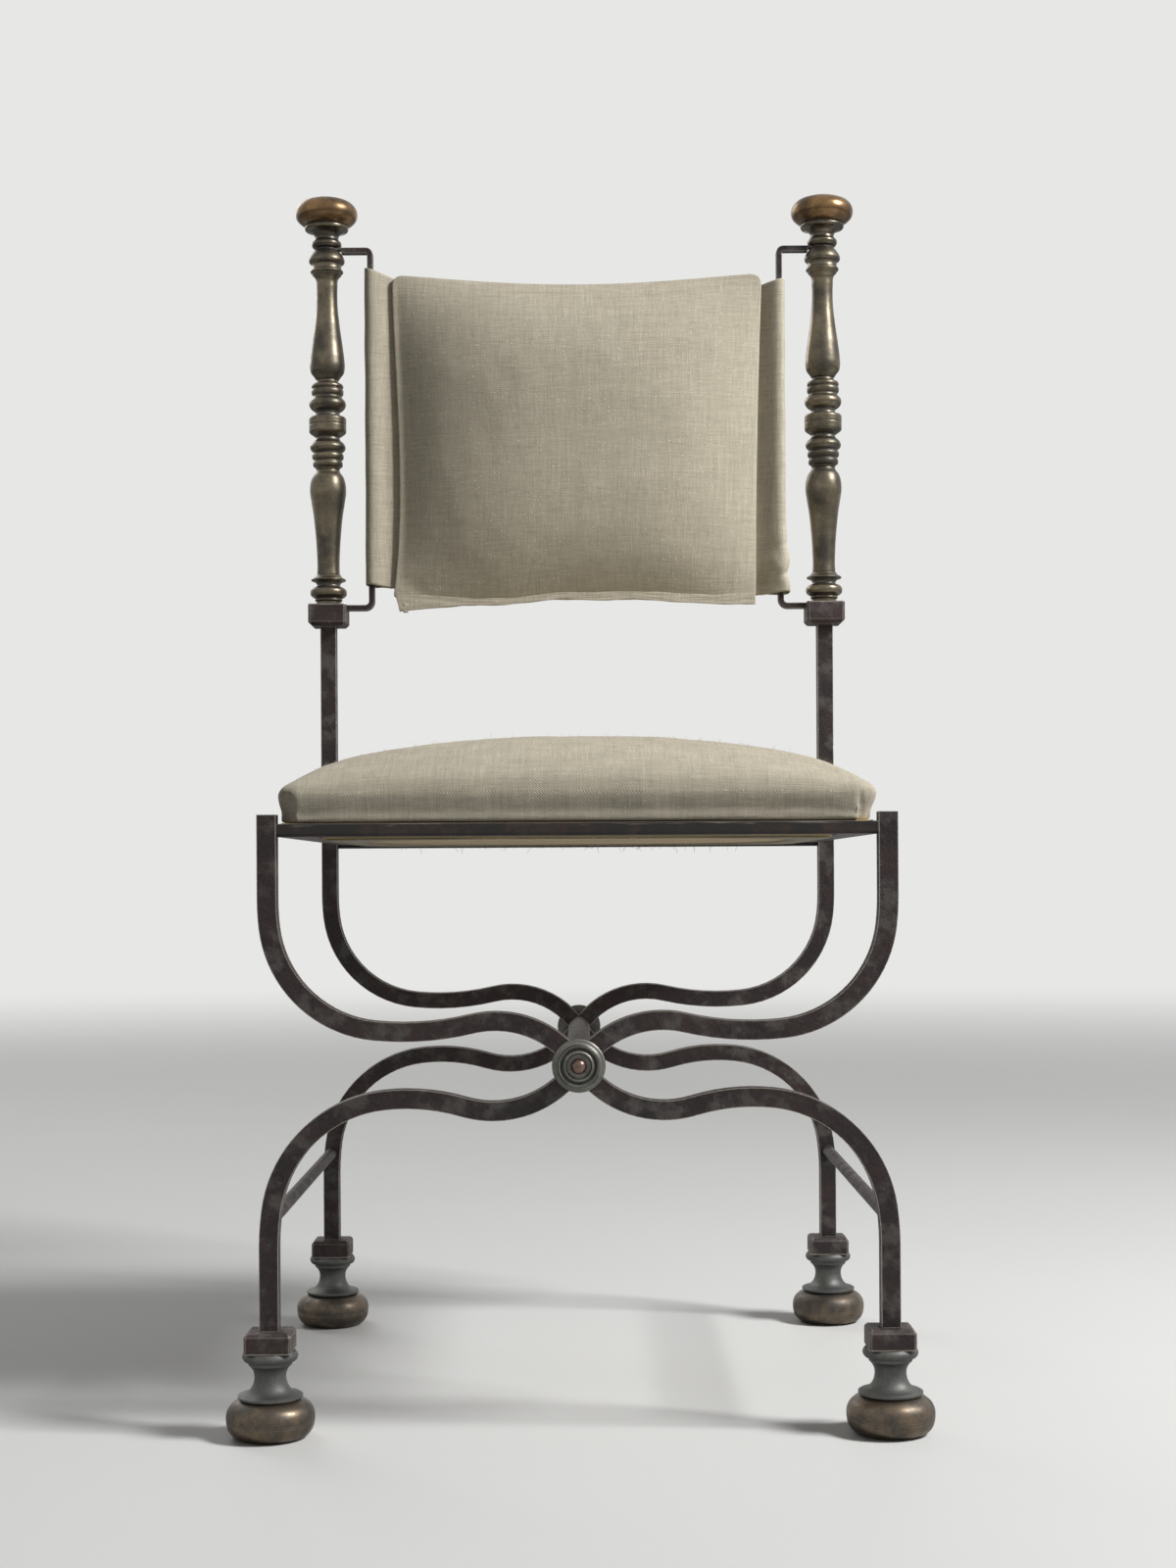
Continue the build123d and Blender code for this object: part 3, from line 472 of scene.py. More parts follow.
# %% Linen finish
def linen_finish(name, rib):
    material, g = new_finish(name, Roughness=0.88, Specular_IOR_Level=0.25)
    g.feed(Sheen_Weight=0.18, Sheen_Roughness=0.45, Sheen_Tint=(0.95, 0.90, 0.80))
    at = g.put("Attribute", attribute_name="weave").outputs["Vector"]
    cloth = g.use(linen_weave, at, Twill=0.00205, Rib=rib)
    soil = g.mask(patches, at, Scale=9.0, Level=0.52, Softness=0.2)
    colour = g.mix(cloth["Tone"], (0.415, 0.362, 0.270), (0.725, 0.665, 0.530))
    colour = g.mix(g.times(cloth["Slub"], 0.45), colour, (0.78, 0.73, 0.62))
    colour = g.mix(g.times(soil, 0.08), colour, (0.36, 0.31, 0.23))
    g.feed(Base_Color=colour, Normal=g.bump(cloth["Height"], 0.6, 0.0005))
    return material


seat_linen = linen_finish("seat_linen", rib=1.1)
back_linen = linen_finish("back_linen", rib=0.5)
print("linen ready")

# %% [markdown]
# ## Dressing the CAD nodes
#
# The CAD pieces keep their shape. They only swap their material, and the square ones get two
# modifiers: a Weld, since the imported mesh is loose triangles, and a fine Bevel, since no real edge is
# perfectly sharp.

# %% Finishes for the CAD nodes, with the radius of their edges in millimetres
CAD_FINISHES = {
    "leg_bar": (wrought_iron, 0.5),
    "ankle_block": (block_iron, 0.6),
    "post_block": (block_iron, 0.6),
    "back_strap": (wrought_iron, 0.5),
    "stretcher": (wrought_iron, None),
    "front_seat_rail": (end_rail_iron, 0.4),
    "rear_seat_rail": (end_rail_iron, 0.4),
    "left_seat_rail": (side_rail_iron, 0.4),
    "right_seat_rail": (side_rail_iron, 0.4),
    "centre_axle": (axle_iron, None),
    "foot_neck": (foot_bronze, None),
    "boss": (boss_bronze, 0.3),
    "cap_nut": (nut_copper, None),
    "seat_board": (plywood, 0.4),
}
CREASE_ANGLE = math.radians(35)


def modify(piece, name, kind, **settings):
    made = piece.modifiers.new(name, kind)
    for setting, value in settings.items():
        setattr(made, setting, value)


dressed = 0
for name, node in nodes.items():
    match = next((key for key in CAD_FINISHES if key in name), None)
    if match is None:
        continue
    finish, radius = CAD_FINISHES[match]
    node.material_slots[0].material = finish
    dressed += 1
    if radius:
        modify(node, "weld", "WELD", merge_threshold=1e-6)
        eased = {"limit_method": "ANGLE", "angle_limit": CREASE_ANGLE, "segments": 2}
        modify(node, "eased", "BEVEL", width=radius * MM, **eased)
print(dressed, "nodes dressed")

# %% [markdown]
# ## Turned pieces
#
# Posts, finials and buns come off a lathe, and a lathe leaves crisp little steps between its curves.
# Each one is drawn here as half an outline and spun round its own axis. A mark is a radius and a height,
# both in hundredths of the piece. The outline runs smoothly through the marks, except that a mark with
# a third value is a crisp corner.

# %% From mesh to piece
def add_piece(mesh, name, finish, body):
    """An object that shows the mesh in one finish and rides on a body."""
    mesh.materials.append(finish)
    piece = add_object(name, mesh)
    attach(piece, body)
    return piece


def make_piece(bm, name, finish, body, smooth=True):
    """Turn a bmesh into a piece."""
    mesh = bpy.data.meshes.new(name)
    bm.normal_update()
    bm.to_mesh(mesh)
    bm.free()
    if smooth:
        mesh.shade_smooth()
    else:
        mesh.shade_flat()
    return add_piece(mesh, name, finish, body)


print("make_piece ready")


# %% Outline through marks
def turned_line(marks, radius, low, high, step=0.0007):
    """Closely spaced (radius, height) points along the outline."""
    points = np.array([(mark[0] * radius / 100, low + (high - low) * mark[1] / 100) for mark in marks])
    crisp = [True] + [len(mark) == 3 for mark in marks[1:-1]] + [True]
    gaps = np.hypot(*np.diff(points, axis=0).T)
    ways = np.diff(points, axis=0) / gaps[:, None]

    def way_at(i, own):
        if crisp[i]:
            return ways[own]
        return (ways[i - 1] * gaps[i] + ways[i] * gaps[i - 1]) / (gaps[i - 1] + gaps[i])

    line = []
    for i, gap in enumerate(gaps):
        count = max(1, math.ceil(gap / step))
        t = (np.arange(count) / count)[:, None]
        ends = points[i] * (1 + 2 * t) * (1 - t) ** 2 + points[i + 1] * t * t * (3 - 2 * t)
        line.append(ends + gap * (way_at(i, i) * t * (1 - t) ** 2 - way_at(i + 1, i) * t * t * (1 - t)))
    line = np.concatenate(line + [points[-1:]])
    line[:, 0] = np.clip(line[:, 0], 0, radius)
    return line


print(len(turned_line([(50, 0), (100, 50), (50, 100)], 0.016, 0, 0.03)), "points on a bead")


# %% Lathe
def lathe(line, x, y, bore, steps=72):
    """Spin an outline round the upright axis at x, y. With a bore the piece is a tube, else it is solid."""
    bm = bmesh.new()
    foot, top = (bore, line[0][1]), (bore, line[-1][1])
    outline = [foot] + [tuple(p) for p in line] + [top]
    verts = [bm.verts.new((x + r, y, z)) for r, z in outline]
    edges = [bm.edges.new(pair) for pair in zip(verts, verts[1:])]
    if bore:
        edges.append(bm.edges.new((verts[-1], verts[0])))
    axis, full = (0, 0, 1), 2 * math.pi
    bmesh.ops.spin(bm, geom=verts + edges, cent=(x, y, 0), axis=axis, angle=full, steps=steps, use_merge=True)
    bmesh.ops.remove_doubles(bm, verts=bm.verts, dist=1e-6)
    bmesh.ops.recalc_face_normals(bm, faces=bm.faces)
    return bm


print("lathe ready")

# %% Outlines of the turned pieces
ROD_BORE = 0.0041
BASE_RING = [
    (66, 0, 1), (67, 12, 1), (74, 14.5), (75, 18), (70, 21.5, 1), (86, 26.5), (97, 33), (99.5, 41), (97, 49),
    (89, 55), (80, 58.5, 1), (66, 61, 1), (63, 66), (68, 73), (80, 78, 1), (93, 80.5), (95.5, 83), (93, 85.5),
    (80, 89.5, 1), (71, 95), (66, 100),
]
LOWER_BALUSTER = [
    (62.5, 0), (60.4, 7.7), (62.5, 20), (66, 32), (72, 44), (80, 57), (91, 69), (98.5, 80), (95, 87.5),
    (84, 93.5), (66, 98), (62, 100),
]
RING_STACK = [
    (62, 0, 1), (64, 2, 1), (77, 4), (79, 6), (77, 8.7), (70, 10.5, 1), (82, 12.5), (84, 14.5), (82, 17),
    (72, 19.2, 1), (88, 21.5), (94, 25), (88, 28.5), (66, 33, 1), (62, 36, 1), (73, 37.5, 1), (94, 40.8, 1),
    (98, 42.3, 1), (98, 49.2, 1), (95.5, 49.8, 1), (98, 50.4, 1), (98, 56.8, 1), (93, 58.5, 1), (66, 60, 1),
    (63, 62), (66, 64.5, 1), (88, 68), (97, 72), (94, 76), (78, 80, 1), (75, 82, 1), (83, 84), (85, 86.5),
    (83, 89), (76, 90.5, 1), (83, 91.5), (84, 93), (80, 95), (62, 96.5, 1), (58, 98), (57, 100),
]
UPPER_BALUSTER = [
    (62, 0, 1), (76, 3.5, 1), (91, 7), (96.5, 12), (95, 19), (88, 29.5), (70.6, 51), (58.3, 73), (58.5, 88),
    (64, 97), (76, 100),
]
TOP_COLLAR = [
    (79, 0, 1), (80, 6, 1), (89, 10), (92, 15), (89, 20), (82, 24, 1), (80.5, 34), (82, 43, 1), (94, 48, 1),
    (99, 53), (100, 59), (94, 73), (82, 86), (66, 100),
]
FINIAL = [
    (43, 0, 1), (46.5, 3), (48, 7), (46.5, 11.5), (40, 15, 1), (38, 20), (43, 28), (57, 34, 1), (68, 35.5, 1),
    (70.5, 39), (69, 42.5), (65, 44, 1), (84, 50), (96, 58), (100, 68), (97, 78), (86, 87.5), (62, 95.3),
    (30, 99.2), (0, 100),
]
BUN = [
    (71, 0, 1), (83, 6), (92, 16), (97.5, 29), (99.5, 41, 1), (98.4, 42, 1), (99.6, 43, 1), (99.9, 46.5, 1),
    (98.9, 47.5, 1), (100, 48.5, 1), (100, 57), (98, 69), (92.5, 81), (83, 91), (68, 100),
]
print(len(RING_STACK), "marks on the ring stack")

# %% Spin them: marks, radius in millimetres, bore, finish and slot
TURNED = {
    "post_base_ring": (BASE_RING, 16.0, ROD_BORE, post_brass, "post_brass"),
    "post_lower_baluster": (LOWER_BALUSTER, 16.0, ROD_BORE, post_brass, "post_brass"),
    "post_ring_stack": (RING_STACK, 16.5, ROD_BORE, post_brass, "post_brass"),
    "post_upper_baluster": (UPPER_BALUSTER, 15.7, ROD_BORE, post_brass, "post_brass"),
    "post_top_collar": (TOP_COLLAR, 15.6, ROD_BORE, post_brass, "post_brass"),
    "finial": (FINIAL, 27.0, 0, finial_brass, "finial_brass"),
    "foot_bun": (BUN, 31.0, 0, bun_bronze, "foot_bronze"),
}
triangles = 0
for node_name in sorted(nodes):
    match = next((key for key in TURNED if key in node_name), None)
    if match is None:
        continue
    marks, radius, bore, finish, slot = TURNED[match]
    (left, front, low), (right, back, high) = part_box(node_name)
    bm = lathe(turned_line(marks, radius * MM, low, high), (left + right) / 2, (front + back) / 2, bore)
    triangles += 2 * len(bm.faces)
    piece = make_piece(bm, "turned_" + node_name, finish, "frame")
    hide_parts(node_name)
print("turned pieces:", triangles, "triangles")

# %% [markdown]
# ## Upholstery
#
# A stuffed seat and a stuffed back are both a cover pulled tight over something springy. Each starts as
# a box with a fine grid on every side: a cube whose edges are cut, one direction after the other. The
# grid is then pushed into a dome, and the cloth solver blows it up a little, as stuffing would. A grid
# is better here than a remesh, because its rows run with the threads of the linen.
#
# Every point keeps its place on the cube in an attribute. From that, each corner of each face later
# learns how far along the cloth it lies, and the weave follows the surface round the edges.

# %% Box with a grid on every side
def gridded_box(cuts):
    """A cube from -1 to 1 with that many cuts along X, Y and Z. It knows its sides and its first shape."""
    bm = bmesh.new()
    bmesh.ops.create_cube(bm, size=2.0)
    bm.normal_update()
    side = bm.faces.layers.int.new("side")
    for face in bm.faces:
        axis = max(range(3), key=lambda k: abs(face.normal[k]))
        face[side] = 2 * axis + (face.normal[axis] > 0)
    for axis, count in enumerate(cuts):
        along = [e for e in bm.edges if abs(e.verts[1].co[axis] - e.verts[0].co[axis]) > 0.01]
        bmesh.ops.subdivide_edges(bm, edges=along, cuts=count, use_grid_fill=True)
    cube = bm.verts.layers.float_vector.new("cube")
    for vert in bm.verts:
        vert[cube] = vert.co
    return bm


def cover_piece(cuts, point_at, name, finish, body):
    """A gridded box with every point moved to where point_at puts it."""
    bm = gridded_box(cuts)
    for vert in bm.verts:
        vert.co = point_at(*vert.co)
    return make_piece(bm, name, finish, body)


print("cover helpers ready")


# %% Curves and bumps
def spread(t):
    """Places the rows closer together near an edge, where the cover turns."""
    return 0.5 * t + 0.5 * math.sin(t * math.pi / 2)


def dome(t, power):
    """1 in the middle, 0 at the edge, where it falls off steeply."""
    return (1 - min(abs(t), 1.0) ** power) ** (1 / power)


def swell(t, power):
    """1 in the middle, 0 at the edge, which it meets at a slope, as soft stuffing does."""
    return 1 - min(abs(t), 1.0) ** power


def ease(low, high, value):
    """0 below low, 1 above high, smooth between."""
    t = min(max((value - low) / (high - low), 0.0), 1.0)
    return t * t * (3 - 2 * t)


def ridge(value, centre, width):
    """A narrow bump, 1 at the centre."""
    return math.exp(-(((value - centre) / width) ** 2))


def round_corner(x, y, half_x, half_y, radius):
    """Moves a point of a rectangle so that the corners become round."""
    dx, dy = (abs(x) - half_x) / radius + 1, (abs(y) - half_y) / radius + 1
    if dx <= 0 or dy <= 0:
        return x, y
    round_x, round_y = dx * math.sqrt(1 - dy * dy / 2), dy * math.sqrt(1 - dx * dx / 2)
    far_x, far_y = half_x - radius + radius * round_x, half_y - radius + radius * round_y
    return math.copysign(far_x, x), math.copysign(far_y, y)


def drift(x, y, z, size, seed=0.0):
    """Gentle unevenness, about -1 to 1, with bumps of about that size in metres."""
    return noise.noise(Vector((x / size + seed, y / size, z / size)))


print("spread(0.5) =", round(spread(0.5), 3))


# %% Reading and writing points
def fetch(data, key, kind, width):
    """One property of all items, as an array with that many columns."""
    values = np.empty(width * len(data), kind)
    data.foreach_get(key, values)
    return values.reshape(-1, width) if width > 1 else values


def read_points(mesh):
    return fetch(mesh.vertices, "co", np.float32, 3).astype(float)


def write_points(mesh, points):
    mesh.vertices.foreach_set("co", np.asarray(points, np.float32).ravel())
    mesh.update()


def length_along(profile, samples=400):
    """Arc length of a profile t -> (a, b) from t = 0, as a function for arrays of t from -1 to 1."""
    ts = np.linspace(0, 1, samples)
    points = np.array([profile(t) for t in ts])
    totals = np.concatenate([[0], np.cumsum(np.hypot(*np.diff(points, axis=0).T))])
    return lambda t: np.sign(t) * np.interp(np.abs(t), ts, totals)


def lay_weave(mesh, axes, lengths, past_rim):
    """Store two lengths along the cloth for each corner of each face.

    The cover's face spans the two axes, and lengths gives how far along the cloth a point of it lies.
    On a wall, past_rim gives how far the cloth has gone beyond the rim."""
    (first, second), (along_first, along_second) = axes, lengths
    at_vertex = fetch(mesh.loops, "vertex_index", np.int32, 1)
    side_of_face = fetch(mesh.attributes["side"].data, "value", np.int32, 1)
    side = np.repeat(side_of_face, fetch(mesh.polygons, "loop_total", np.int32, 1))
    cube = fetch(mesh.attributes["cube"].data, "vector", np.float32, 3)[at_vertex]
    a, b, over = cube[:, first], cube[:, second], past_rim(cube)
    place = np.zeros((len(cube), 3), np.float32)
    on_first, on_second = side // 2 == first, side // 2 == second
    place[:, 0] = np.where(on_first, np.sign(a) * (along_first(1.0) + over), along_first(a))
    place[:, 1] = np.where(on_second, np.sign(b) * (along_second(1.0) + over), along_second(b))
    layer = mesh.attributes.new("weave", "FLOAT_VECTOR", "CORNER")
    layer.data.foreach_set("vector", place.ravel())


print("piece helpers ready")


# %% Stuffing
def stuff(piece, pinned, cap, pressure, frames=20):
    """Blow a cover up with the cloth solver; no point moves further than cap, and pinned ones stay."""
    mesh = piece.data
    start = read_points(mesh)
    held = piece.vertex_groups.new(name="held")
    held.add([int(i) for i in np.nonzero(pinned)[0]], 1.0, "REPLACE")
    cloth = piece.modifiers.new("cloth", "CLOTH")
    cloth.settings.use_pressure = True
    cloth.settings.uniform_pressure_force = pressure
    cloth.settings.effector_weights.gravity = 0
    cloth.settings.vertex_group_mass = "held"
    cloth.settings.quality = 5
    scene = bpy.context.scene
    for frame_number in range(1, frames + 1):
        scene.frame_set(frame_number)
    blown = piece.evaluated_get(bpy.context.evaluated_depsgraph_get()).to_mesh()
    moved = read_points(blown) - start
    far = np.linalg.norm(moved, axis=1)
    moved *= (np.minimum(far, cap) / np.maximum(far, 1e-9))[:, None]
    piece.modifiers.remove(cloth)
    piece.vertex_groups.remove(held)
    scene.frame_set(1)
    write_points(mesh, start + moved)
    print(piece.name, "moved up to", round(float(far.max()) * 1000, 1), "mm, kept to", cap * 1000)


print("stuffing ready")

# %% [markdown]
# ## The seat pad
#
# The pad is a thin stuffed layer on the plywood. Its cover goes straight up at the edge, turns over in a
# tight curve and then rises slowly to the middle. Over the tops of the front uprights it bulges out;
# under them it tucks in. At the back the iron posts stand in its way, so its corners are pinched there.

# %% Seat pad shape
PAD_HALF_X, PAD_HALF_Y, PAD_FOOT, PAD_EDGE, PAD_TOP = 0.212, 0.209, 0.4296, 0.4500, 0.4966
PAD_TUCK_X, PAD_TUCK_Y, PAD_CORNER = 0.0030, 0.0058, 0.018
PINCH_LEFT, PINCH_RIGHT = 0.0022, 0.0045


def pad_height(x, y):
    return PAD_EDGE + (PAD_TOP - PAD_EDGE) * dome(x / PAD_HALF_X, 2.2) * dome(y / PAD_HALF_Y, 2.3)


def pad_point(u, v, w):
    x, y = PAD_HALF_X * spread(u), PAD_HALF_Y * spread(v)
    z = pad_height(x, y) if w > 0.999 else PAD_FOOT + (PAD_EDGE - PAD_FOOT) * (w + 1) / 2
    x, y = round_corner(x, y, PAD_HALF_X, PAD_HALF_Y, PAD_CORNER)
    if w < 0.999:
        tuck = 1 - ease(PAD_FOOT - 0.012, PAD_EDGE, z)
        corner = ease(0.12, 0.195, abs(y)) * (1 - ease(PAD_FOOT, 0.4475, z))
        pinch = PINCH_RIGHT if x > 0 else PINCH_LEFT
        x -= math.copysign(min(PAD_TUCK_X * tuck + pinch * corner, abs(x)), x) if abs(u) > 0.9 else 0
        y -= math.copysign(PAD_TUCK_Y * tuck, y) if abs(v) > 0.9 else 0
    return x, y, z


def below_pad_rim(cube):
    return (1 - cube[:, 2]) / 2 * (PAD_EDGE - PAD_FOOT)


seat_cover = cover_piece((83, 81, 7), pad_point, "seat_cover", seat_linen, "seat")
along_x = length_along(lambda t: (PAD_HALF_X * spread(t), pad_height(PAD_HALF_X * spread(t), 0)))
along_y = length_along(lambda t: (PAD_HALF_Y * spread(t), pad_height(0, PAD_HALF_Y * spread(t))))
lay_weave(seat_cover.data, (0, 1), (along_x, along_y), below_pad_rim)
print("seat cover", len(seat_cover.data.polygons), "faces; cloth to the edge", along_x(1.0).round(4))

# %% Seat pad stuffing
SOFT_FOLDS = (-0.2015, 0.1975)
POST_CLEARANCE = 0.2096
flat = read_points(seat_cover.data)
stuff(seat_cover, flat[:, 2] < PAD_FOOT + 0.004, cap=0.0018, pressure=3.0)
points = read_points(seat_cover.data)
for point in points:
    x, y, z = point
    lift = ease(0.450, 0.470, z)
    point[2] += lift * 0.0007 * (drift(x, y, 0, 0.055) + 0.6 * drift(x, y, 0, 0.024, 7))
    if PAD_FOOT + 0.002 < z < 0.46:
        point[1] += 0.0006 * drift(x, z, 3, 0.03) * (1 if y < 0 else -1)
    if y < -0.2 and z < 0.453:
        for fold in SOFT_FOLDS:
            point[1] += 0.0016 * ridge(x, fold, 0.0017) * (1 - ease(0.446, 0.453, z))
points[:, 2] = np.maximum(points[:, 2], PAD_FOOT)


def near_post(y, z):
    """1 beside a post: all the way up at the back, and up to the top of the upright in front."""
    behind, before = ease(0.184, 0.1925, y), ease(0.184, 0.1925, -y)
    return max(behind, before * (1 - ease(0.4385, 0.4415, z)))


widest = PAD_HALF_X + 0.0008
limit = np.array([widest - near_post(y, z) * (widest - POST_CLEARANCE) for _, y, z in points])
points[:, 0] = np.clip(points[:, 0], -limit, limit)
points[:, 1] = np.clip(points[:, 1], -PAD_HALF_Y - 0.0005, PAD_HALF_Y + 0.0005)
write_points(seat_cover.data, points)
modify(seat_cover, "smoother", "SUBSURF", levels=1, render_levels=1)
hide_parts("seat_pad")
print("seat cover spans", points.min(0).round(4), points.max(0).round(4))

# %% [markdown]
# ## The stuffed back
#
# The front of the back is a flat cushion sewn to the hanging panel. Its corners stay where they are
# sewn, and between them the stuffing draws the sides in, so the outline is slightly hollow on all four
# sides. It is flat behind, where it lies on the panel.

# %% Back cushion shape
BACK_Y, BACK_EDGE_Y, BACK_FRONT_Y = 0.1916, 0.1882, 0.1605
BACK_LOW, BACK_HIGH, BACK_HALF_X = 0.6310, 0.9148, 0.1592
BACK_MIDDLE, BACK_HALF_Z = (BACK_LOW + BACK_HIGH) / 2, (BACK_HIGH - BACK_LOW) / 2
BACK_DEPTH = BACK_EDGE_Y - BACK_FRONT_Y
SIDE_POWER, TOP_POWER = 2.9, 3.6
TOP_CORNER, FOOT_CORNER = 0.009, 0.002
DIP, DIP_REACH, LEFT_REACH = 0.0085, 0.152, 0.1545
CREASE = [
    (-0.160, 0.6345), (-0.135, 0.6335), (-0.095, 0.6305), (-0.060, 0.6300), (-0.017, 0.6352),
    (0.013, 0.6356), (0.051, 0.6360), (0.118, 0.6322), (0.160, 0.6345),
]


def crease(x):
    """Height of the line where the cushion's lower edge meets its hem."""
    return float(np.interp(x, *zip(*CREASE)))


def side_at(level, left):
    """How far out the left or right edge of the cushion is, level going from -1 to 1."""
    hollow = 1 - level * level
    if left:
        return 0.1594 - 0.0053 * hollow + 0.0041 * level * hollow
    return 0.1597 + 0.0034 * level - 0.0014 * hollow


def flat_corner(x, z):
    """1 where the stuffing doesn't reach: the two lower corners, the left one most."""
    left = max(0, 1 - math.hypot((x + 0.160) / 0.040, (z - 0.628) / 0.030))
    right = max(0, 1 - math.hypot((x - 0.160) / 0.020, (z - 0.630) / 0.014))
    return ease(0.0, 0.55, max(left, 0.8 * right))


def back_point(u, v, w):
    corner = TOP_CORNER if w > 0 else FOOT_CORNER
    x, z = round_corner(BACK_HALF_X * spread(u), BACK_HALF_Z * spread(w), BACK_HALF_X, BACK_HALF_Z, corner)
    level = z / BACK_HALF_Z
    dip = DIP * (1 - min((x / DIP_REACH) ** 2, 1)) ** 1.3
    reach = BACK_HALF_X if x > 0 else LEFT_REACH
    crown = swell(x / reach, SIDE_POWER) * swell(level, TOP_POWER)
    x *= side_at(level, x < 0) / BACK_HALF_X
    z += BACK_MIDDLE - dip * ease(0.0, 1.0, level) + (crease(x) - BACK_LOW) * ease(0.2, 1.0, -level)
    if v < -0.999:
        return x, BACK_EDGE_Y - BACK_DEPTH * crown * (1 - flat_corner(x, z)), z
    return x, BACK_Y - (1 - v) / 2 * (BACK_Y - BACK_EDGE_Y), z


def behind_back_rim(cube):
    return (cube[:, 1] + 1) / 2 * (BACK_Y - BACK_EDGE_Y)


back_cover = cover_piece((70, 3, 62), back_point, "back_cover", back_linen, "frame")
along_x = length_along(lambda t: (BACK_HALF_X * spread(t), BACK_DEPTH * swell(spread(t), SIDE_POWER)))
along_z = length_along(lambda t: (BACK_HALF_Z * spread(t), BACK_DEPTH * swell(spread(t), TOP_POWER)))
lay_weave(back_cover.data, (0, 2), (along_x, along_z), behind_back_rim)
print("back cover", len(back_cover.data.polygons), "faces")

# %% Back cushion stuffing
FRONT_LIMIT = 0.1530
flat = read_points(back_cover.data)
stuff(back_cover, flat[:, 1] > BACK_EDGE_Y - 0.0005, cap=0.0040, pressure=4.0)
points = read_points(back_cover.data)
for point in points:
    x, y, z = point
    proud = 1 - ease(0.168, 0.186, y)
    point[1] += proud * 0.0011 * (drift(x, z, 5, 0.060) + 0.5 * drift(x, z, 9, 0.022))
points[:, 1] = np.clip(points[:, 1], FRONT_LIMIT, BACK_Y)
write_points(back_cover.data, points)
modify(back_cover, "smoother", "SUBSURF", levels=1, render_levels=1)
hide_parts("back_cushion")
print("back cover spans", points.min(0).round(4), points.max(0).round(4))

# %% [markdown]
# ## The hanging panel
#
# Behind the cushion one length of linen runs from strap to strap. At each end it goes round the outside
# of the strap, comes back behind it and is stitched down, which makes a sleeve. The cloth is drawn as
# its section seen from above, a single line that is swept upwards and then given its thickness.

# %% Section of the panel: sideways and backwards from the middle of the chair, in millimetres
SLEEVE = [(183.0, 200), (182.9, 207.0), (181.8, 210.4), (179, 211.2), (176.0, 210.4), (173.8, 207.0)]
RIGHT_FRONT = [
    (0.0, 193.2), (60, 193.2), (110, 193.6), (132, 196.2), (148, 199.4), (156, 200.4), (161, 199.4),
    (168, 195.2), (174.6, 190.6), (177.5, 188.9), (180.4, 188.6), (182.3, 189.8), (182.9, 192.0),
]
LEFT_FRONT = [
    (0.0, 193.2), (60, 193.2), (120, 193.1), (148, 193.4), (156, 193.5), (161, 191.9), (168, 189.1),
    (174.6, 186.3), (177.8, 185.3), (180.6, 185.2), (182.3, 186.8), (182.9, 190.0),
]
RIGHT_SEAM = [(171.5, 202.0), (168.5, 198.6), (165, 198.9), (161, 201.2)]
LEFT_SEAM = [(171.5, 200.0), (168.5, 196.4), (165, 195.0), (161, 195.2)]


def dense_line(points, step=0.004):
    """Points a step apart along a smooth line through the given ones."""
    points = np.array(points, float) * MM
    chord = np.concatenate([[0], np.cumsum(np.hypot(*np.diff(points, axis=0).T))])
    at = np.linspace(0, chord[-1], int(chord[-1] / step) + 1)
    fine = np.stack([np.interp(at, chord, points[:, k]) for k in (0, 1)], axis=1)
    for _ in range(2):
        fine[1:-1] = 0.25 * fine[:-2] + 0.5 * fine[1:-1] + 0.25 * fine[2:]
    return fine


right_half = dense_line(RIGHT_FRONT + SLEEVE + RIGHT_SEAM)
left_half = dense_line(LEFT_FRONT + SLEEVE + LEFT_SEAM)[:0:-1] * (-1, 1)
section = np.concatenate([left_half, right_half])
run = np.concatenate([[0], np.cumsum(np.hypot(*np.diff(section, axis=0).T))])
print("section", len(section), "points,", round(float(run[-1]), 4), "m of cloth")

# %% Panel
PANEL_ROWS = 140
# Lower and upper edge on the left and on the right: height, where it is measured, and its slope.
LEFT_ENDS = (0.6427, 0.1607, 0.17), (0.9137, 0.1587, 0.34)
RIGHT_ENDS = (0.6357, 0.157, 0.10), (0.9073, 0.163, 0.234)
HIDDEN_ENDS = 0.645, 0.898
SLEEVE_FOOT, FOLD_PITCH, FOLD_OUT, FOLD_DEEP = 0.6365, 0.0262, 0.0032, 0.0036
SAG, SAG_PITCH, CREASE_Z = 0.0012, 0.031, 0.6600
STRAP_Y = 0.2


def panel_ends(x):
    """The lower and upper edge of the panel at x. Where the cushion hides it, it is cut shorter."""
    hidden = 1 - ease(0.148, 0.156, abs(x))
    for (height, start, slope), covered in zip(LEFT_ENDS if x < 0 else RIGHT_ENDS, HIDDEN_ENDS):
        edge = height + (abs(x) - start) * slope
        yield edge + (covered - edge) * hidden


def gather(x, z):
    """Folds where the right sleeve has slid down its strap, from 0 to 1."""
    bunched = ease(0.158, 0.170, x) * (1 - ease(0.655, 0.700, z))
    wave = math.cos(2 * math.pi * (z - SLEEVE_FOOT - 0.35 * (x - 0.17)) / FOLD_PITCH)
    return bunched * (0.5 * (1 + wave)) ** 0.55


